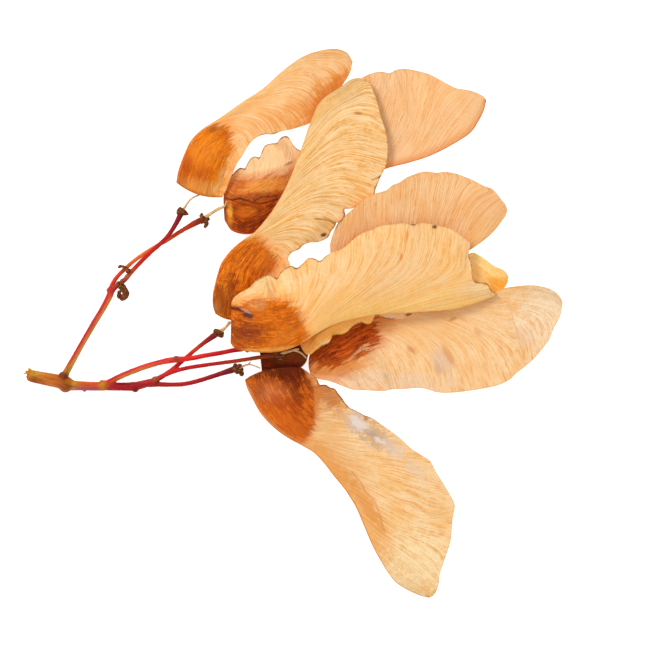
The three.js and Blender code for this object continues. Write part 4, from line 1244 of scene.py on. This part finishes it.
parts = [stem(path) for path, _, _ in BRANCHES.values()]
for (x, y, z, radius), _ in SWELLINGS:
    bpy.ops.object.select_all(action="DESELECT")
    bpy.ops.mesh.primitive_uv_sphere_add(
        segments=20, ring_count=12, radius=radius / 1000, location=on_table(x, y, z)
    )
    parts.append(bpy.context.object)
for root, point in SPLINTERS:
    parts.append(stem([(*root, 0.36), (*np.add(root, point) / 2, 0.3), (*point, 0.08)], 7, 6, 0.6))
stalk = one_skin(parts, "stalk", 0.105, 3)
run, turn = bark_marks(stalk)
ridges = grain(turn * 2.2 + 40, run / 2.6 + 9, 91) * 0.03 + grain(turn * 5 + 40, run / 1.1 + 9, 92) * 0.018
pits = np.clip(grain(turn * 3 + 60, run / 0.35 + 5, 93) - 0.45, 0, 1) * 0.08
past_foot = TORN_FOOT * PIXEL * 1000 - CENTRE[0] * PIXEL * 1000 - points_of(stalk)[:, 0] * 1000
torn_end = np.clip(past_foot / 0.6, 0, 1)
raise_surface(stalk, ridges + pits + torn_end * grain(turn * 4 + 30, run * 0.2 + 30, 94) * 0.25)

bark = Finish("red_bark", 0.42, 0.12)
run, turn = bark.attribute("run"), bark.attribute("turn")
round_x, round_y = turn.with_("COSINE"), turn.with_("SINE")
streaks = bark.noise(bark.spot(round_x * 3.0, round_y * 3.0, run * 0.55), 3, 0.6)
grit = bark.noise(bark.spot(round_x * 9.0, round_y * 9.0, run * 5.0), 2, 0.6)
colour = bark.colour_attribute("bark")
colour = bark.blend(bark.step(streaks, 0.5, 0.8) * 0.3, colour, paint(236, 110, 50))
colour = bark.blend((1 - bark.step(streaks, 0.3, 0.52)) * 0.5, colour, paint(96, 8, 6))
colour = bark.blend(bark.step(grit, 0.54, 0.7) * 0.4, colour, paint(90, 30, 10))
bark.feed(bark.shader.inputs["Base Color"], colour)
bark.feed(bark.shader.inputs["Roughness"], 0.36 + grit * 0.3)
bark.relief(streaks * 0.6 + grit * 0.5, 0.5, 0.00012)
stalk.data.materials.clear()
stalk.data.materials.append(bark.material)
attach(stalk, "root")
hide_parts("stalk")


# The flower cups. At each branch end sits the dried flower: a small swollen floor with withered brown
# sepals shrunk round it. Each cup: its floor, then its sepals, in places as a branch's are.
CUPS = {
    "top_left": [
        [
            (180, 216, 2.2, 0.46), (181.1, 213.6, 2.25, 0.68), (182, 211.2, 2.3, 0.74),
            (184, 208.4, 2.3, 0.42),
        ],
        [
            (179.6, 214.4, 2.5, 0.36), (178.6, 211.6, 2.75, 0.44), (179.6, 208.8, 2.75, 0.32),
            (181, 206.6, 2.6, 0.14),
        ],
        [
            (182.6, 213.8, 2.4, 0.38), (185.2, 213.4, 2.5, 0.44), (187, 213.8, 2.3, 0.3),
            (188.8, 214.6, 2.1, 0.12),
        ],
        [(179.8, 215, 2, 0.34), (178.4, 213, 1.9, 0.4), (178.2, 210.4, 2, 0.26)],
        [(182.4, 214.6, 1.8, 0.36), (184.8, 212, 1.7, 0.4), (186.2, 210, 1.7, 0.2)],
        [(181.4, 213.2, 2.95, 0.3), (183.2, 211.4, 3.05, 0.34), (184.6, 209.6, 2.85, 0.2)],
    ],
    "top_right": [
        [
            (199.4, 220.2, 1.6, 0.5), (202.2, 219.4, 1.68, 0.76), (204.6, 218.6, 1.7, 0.84),
            (207, 217, 1.75, 0.46),
        ],
        [(201.4, 218, 1.9, 0.46), (201.4, 215.4, 2.1, 0.42), (202, 212.2, 1.9, 0.16)],
        [(205.4, 219.6, 1.9, 0.42), (207.8, 219, 2, 0.42), (209, 220.6, 1.8, 0.22)],
        [
            (204.2, 220.8, 1.9, 0.44), (206.4, 222.4, 1.9, 0.4), (205.8, 225.2, 1.6, 0.34),
            (204.2, 228, 1.35, 0.22),
        ],
        [(201.2, 220.8, 1.5, 0.4), (201.6, 222.6, 1.5, 0.32), (202.8, 223.6, 1.4, 0.16)],
        [(203.6, 219.4, 1.1, 0.36), (206.4, 218, 0.9, 0.34), (208, 217, 0.9, 0.14)],
    ],
    "long": [
        [
            (214.8, 335.2, 3, 0.5), (217.2, 333.7, 3.1, 0.76), (219.4, 332.2, 3.15, 0.84),
            (221.6, 330.4, 3.2, 0.46),
        ],
        [(216, 333.6, 3.4, 0.42), (215.3, 331, 3.6, 0.4), (217.2, 328.8, 3.5, 0.22)],
        [(218.4, 335, 3.3, 0.44), (221.4, 335.6, 3.4, 0.44), (223, 337.3, 3.1, 0.32)],
        [(216.2, 334.2, 2.7, 0.38), (215.4, 332, 2.5, 0.32), (216.8, 329.6, 2.5, 0.16)],
        [(219.4, 334.4, 2.7, 0.4), (222.4, 333.2, 2.7, 0.38), (223.8, 331.6, 2.8, 0.2)],
        [(218.2, 333, 3.85, 0.3), (220.6, 331.8, 4, 0.34), (222, 330.6, 3.9, 0.2)],
    ],
    "right_upper": [
        [
            (243.4, 348.6, 2.95, 0.46), (245.6, 348.3, 2.95, 0.62), (247.6, 348.2, 2.92, 0.62),
            (249.4, 348.2, 2.9, 0.34),
        ],
        [(245.4, 347.2, 3.1, 0.36), (247.8, 345.6, 3.2, 0.3), (249.6, 345.6, 3.1, 0.14)],
        [(245.4, 349.6, 2.9, 0.36), (247.6, 351, 2.9, 0.3), (249.4, 351.4, 2.7, 0.14)],
        [(245.6, 348, 2.6, 0.34), (248, 347.4, 2.3, 0.28), (249.8, 347.4, 2.3, 0.12)],
    ],
    "pair": [
        [
            (273.2, 355.2, 3.85, 0.44), (276, 354.9, 3.85, 0.64), (278.6, 354.8, 3.88, 0.7),
            (281, 354, 3.9, 0.4),
        ],
        [(276.6, 353.6, 4.1, 0.36), (279, 352.4, 4.2, 0.36), (281.6, 353.2, 4.1, 0.18)],
        [(277, 356.4, 4, 0.4), (280, 358, 4.1, 0.4), (283.2, 358.8, 3.9, 0.24)],
        [(278.2, 355.6, 4.3, 0.34), (281.6, 355.8, 4.5, 0.34), (284.6, 356.2, 4.3, 0.18)],
        [(276.6, 355.2, 3.4, 0.36), (279.6, 355.8, 3.2, 0.32), (282.4, 357.4, 3.2, 0.16)],
    ],
    "bottom": [
        [
            (231.2, 370.1, 2.1, 0.52), (234.4, 369.1, 2.25, 0.76), (237.2, 368.2, 2.35, 0.86),
            (240.2, 367.2, 2.45, 0.46),
        ],
        [(235.2, 368, 2.7, 0.44), (235.2, 365.4, 2.9, 0.44), (236.6, 363.4, 2.7, 0.28)],
        [(237.6, 367, 2.9, 0.42), (240, 365.2, 3, 0.4), (241, 363.6, 2.9, 0.22)],
        [
            (237.2, 370, 2.5, 0.48), (240, 371.2, 2.6, 0.5), (241.6, 373.4, 2.4, 0.46),
            (240.8, 376.2, 2, 0.3),
        ],
        [(235.2, 370.6, 2, 0.42), (237.2, 372.6, 1.9, 0.36), (238.6, 374, 1.8, 0.2)],
        [(238.8, 368.4, 1.9, 0.42), (241.8, 369.4, 1.85, 0.4), (243.5, 370.5, 1.9, 0.22)],
    ],
}


def withered(name):
    """Dry flower flesh, dull: its own browns, with painted shade in its hollows and painted highlight on
    its grit.
    """
    f = Finish(name, 0.85, 0.08)
    x, y, z = f.here()
    lumps = f.noise(f.spot(x * 0.55, y * 0.55, z * 3.0), 3, 0.65)
    grit = f.noise(f.spot(x * 2.4, y * 2.4, z * 12.0), 2, 0.6)
    # Partly painted shade: the low parts of the lumps are darkest brown.
    colour = f.blend(f.step(lumps, 0.4, 0.64), paint(70, 26, 8), paint(150, 84, 40))
    # Painted highlight: tan where the grit stands up.
    colour = f.blend(f.step(grit, 0.54, 0.72) * 0.55, colour, paint(206, 150, 94))
    f.feed(f.shader.inputs["Base Color"], colour)
    f.feed(f.shader.inputs["Roughness"], 0.7 + grit * 0.25)
    f.relief(lumps + grit * 0.5, 0.7, 0.0002)
    return f.material


def crinkle(piece, seed, amount):
    """Wrinkles a withered piece."""
    x, y, z = points_of(piece).T * 1000 + 60
    folds = grain((x + z) / 0.35, (y - z) / 0.5, seed) + 0.5 * grain(x / 0.2, (y + 2 * z) / 0.22, seed + 1)
    raise_surface(piece, folds * amount)


dry_flower = withered("dry_flower")
for number, (name, (floor, *sepals)) in enumerate(CUPS.items()):
    parts = [stem(floor, 16, 8)] + [stem(sepal, 10, 6, 0.55) for sepal in sepals]
    cup = one_skin(parts, "cup_" + name, 0.07, 1)
    crinkle(cup, 200 + 3 * number, 0.05)
    cup.data.materials.append(dry_flower)
    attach(cup, "root")
    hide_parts("cup_" + name)


# The threads. Once the seeds are ripe they hang only by the split axis of the flower: straw-pale
# threads, wide where they leave the cup and thin at the seed's cut face.
THREADS = {
    "top_left": [
        [
            (182.8, 210.4, 2.35, 0.4), (184.6, 207.6, 2.35, 0.26), (187.2, 203.4, 2.4, 0.2),
            (191, 198.8, 2.1, 0.18), (195.4, 196.2, 1.65, 0.17), (199.4, 194.6, 1.2, 0.15),
        ],
    ],
    "top_right": [
        [
            (204.6, 217.6, 1.9, 0.44), (207.4, 215.6, 1.8, 0.34), (212, 212.6, 1.85, 0.3),
            (218, 209, 2.1, 0.32), (223.4, 206.6, 2.5, 0.24), (225.6, 204, 2.75, 0.15),
            (226.8, 200.4, 2.7, 0.1),
        ],
    ],
    "long": [
        [
            (219.6, 332, 3.6, 0.44), (225.5, 327.5, 3.7, 0.26), (228, 324, 4.6, 0.2),
            (229.3, 321.5, 5.6, 0.16),
        ],
        [
            (219.6, 332, 3.5, 0.44), (225.5, 327.5, 3.5, 0.24), (228.5, 324.5, 2.7, 0.2),
            (231.2, 321.6, 1.7, 0.16),
        ],
    ],
    "right_upper": [
        [
            (249.6, 348.1, 2.9, 0.26), (253.6, 348.2, 2.6, 0.2), (255.8, 348.6, 2.1, 0.18),
            (257.5, 349, 1.5, 0.15),
        ],
    ],
    "pair": [
        [
            (278.6, 354.8, 4.1, 0.36), (282, 353.4, 4.0, 0.3), (287, 352, 4.0, 0.24),
            (294, 350.4, 3.8, 0.2), (301, 353, 3.35, 0.18), (306.8, 358.6, 2.5, 0.15),
        ],
        [
            (278.6, 354.8, 4.1, 0.36), (282, 353.4, 4.05, 0.3), (287, 352, 4.1, 0.24),
            (293.5, 350, 4.15, 0.2), (299.4, 348.6, 3.95, 0.16),
        ],
    ],
    "bottom": [
        [
            (238.4, 368, 2.6, 0.34), (243.6, 366, 2.65, 0.2), (249, 364.6, 2.9, 0.15),
            (255, 366, 3.2, 0.13), (260.6, 368.4, 3.45, 0.12),
        ],
        [
            (238.4, 368, 2.6, 0.34), (243.6, 366, 2.6, 0.18), (248, 364.4, 2.7, 0.13),
            (251, 361.5, 2.6, 0.1),
        ],
    ],
}
straw = Finish("straw_thread", 0.6, 0.3)
x, y, z = straw.here()
fibres = straw.noise(straw.spot(x * 0.7, y * 1.6, z * 4.0), 3, 0.6)
colour = straw.blend(straw.step(fibres, 0.34, 0.66), paint(186, 132, 74), paint(238, 206, 152))
straw.feed(straw.shader.inputs["Base Color"], colour)
straw.feed(straw.shader.inputs["Roughness"], 0.5 + fibres * 0.3)
straw.relief(fibres, 0.5, 0.0001)
for number, (name, strands) in enumerate(THREADS.items()):
    thread = one_skin([stem(strand, 12, 10) for strand in strands], "thread_" + name, 0.05, 2)
    crinkle(thread, 300 + 3 * number, 0.015)
    thread.data.materials.append(straw.material)
    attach(thread, "root")
    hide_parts("thread_" + name)


# The dried buds. Two flowers that never set seed withered and curled where the upper branch forks.
DRIED_BUDS = {
    "dried_bud_upper": [
        [
            (117.5, 267.8, 2.4, 0.24), (120.5, 266.3, 2.6, 0.26), (123.5, 266.6, 2.9, 0.28),
            (127, 269.4, 3.6, 0.34), (131, 271, 3.75, 0.3),
        ],
        [(126.6, 269.2, 3.5, 0.3), (127.4, 271.8, 3.4, 0.26), (128.2, 273.0, 3.35, 0.16)],
    ],
    "dried_bud_lower": [
        [
            (116.6, 282.4, 3.45, 0.42), (120.6, 285.4, 3.6, 0.64), (124.2, 289.4, 3.2, 0.6),
            (126, 294, 2.5, 0.6), (123, 297.3, 1.9, 0.62), (119.2, 298.2, 1.6, 0.56),
        ],
        [
            (119.6, 298.6, 1.7, 0.5), (118.8, 295.8, 1.7, 0.46), (119, 293, 2, 0.36),
            (119.6, 290.4, 2.4, 0.26),
        ],
        [(124.4, 289.4, 3.3, 0.34), (126.6, 290.4, 3.3, 0.28), (127.6, 291.8, 3.1, 0.16)],
        [(119.4, 284.6, 3.6, 0.3), (117.4, 285.6, 3.8, 0.26), (116.2, 287.2, 3.7, 0.12)],
    ],
}
for number, (name, curls) in enumerate(DRIED_BUDS.items()):
    bud = one_skin([stem(curl, 12, 8, 0.8) for curl in curls], name, 0.06, 1)
    crinkle(bud, 400 + 3 * number, 0.07)
    bud.data.materials.append(dry_flower)
    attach(bud, "root")
    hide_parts(name)
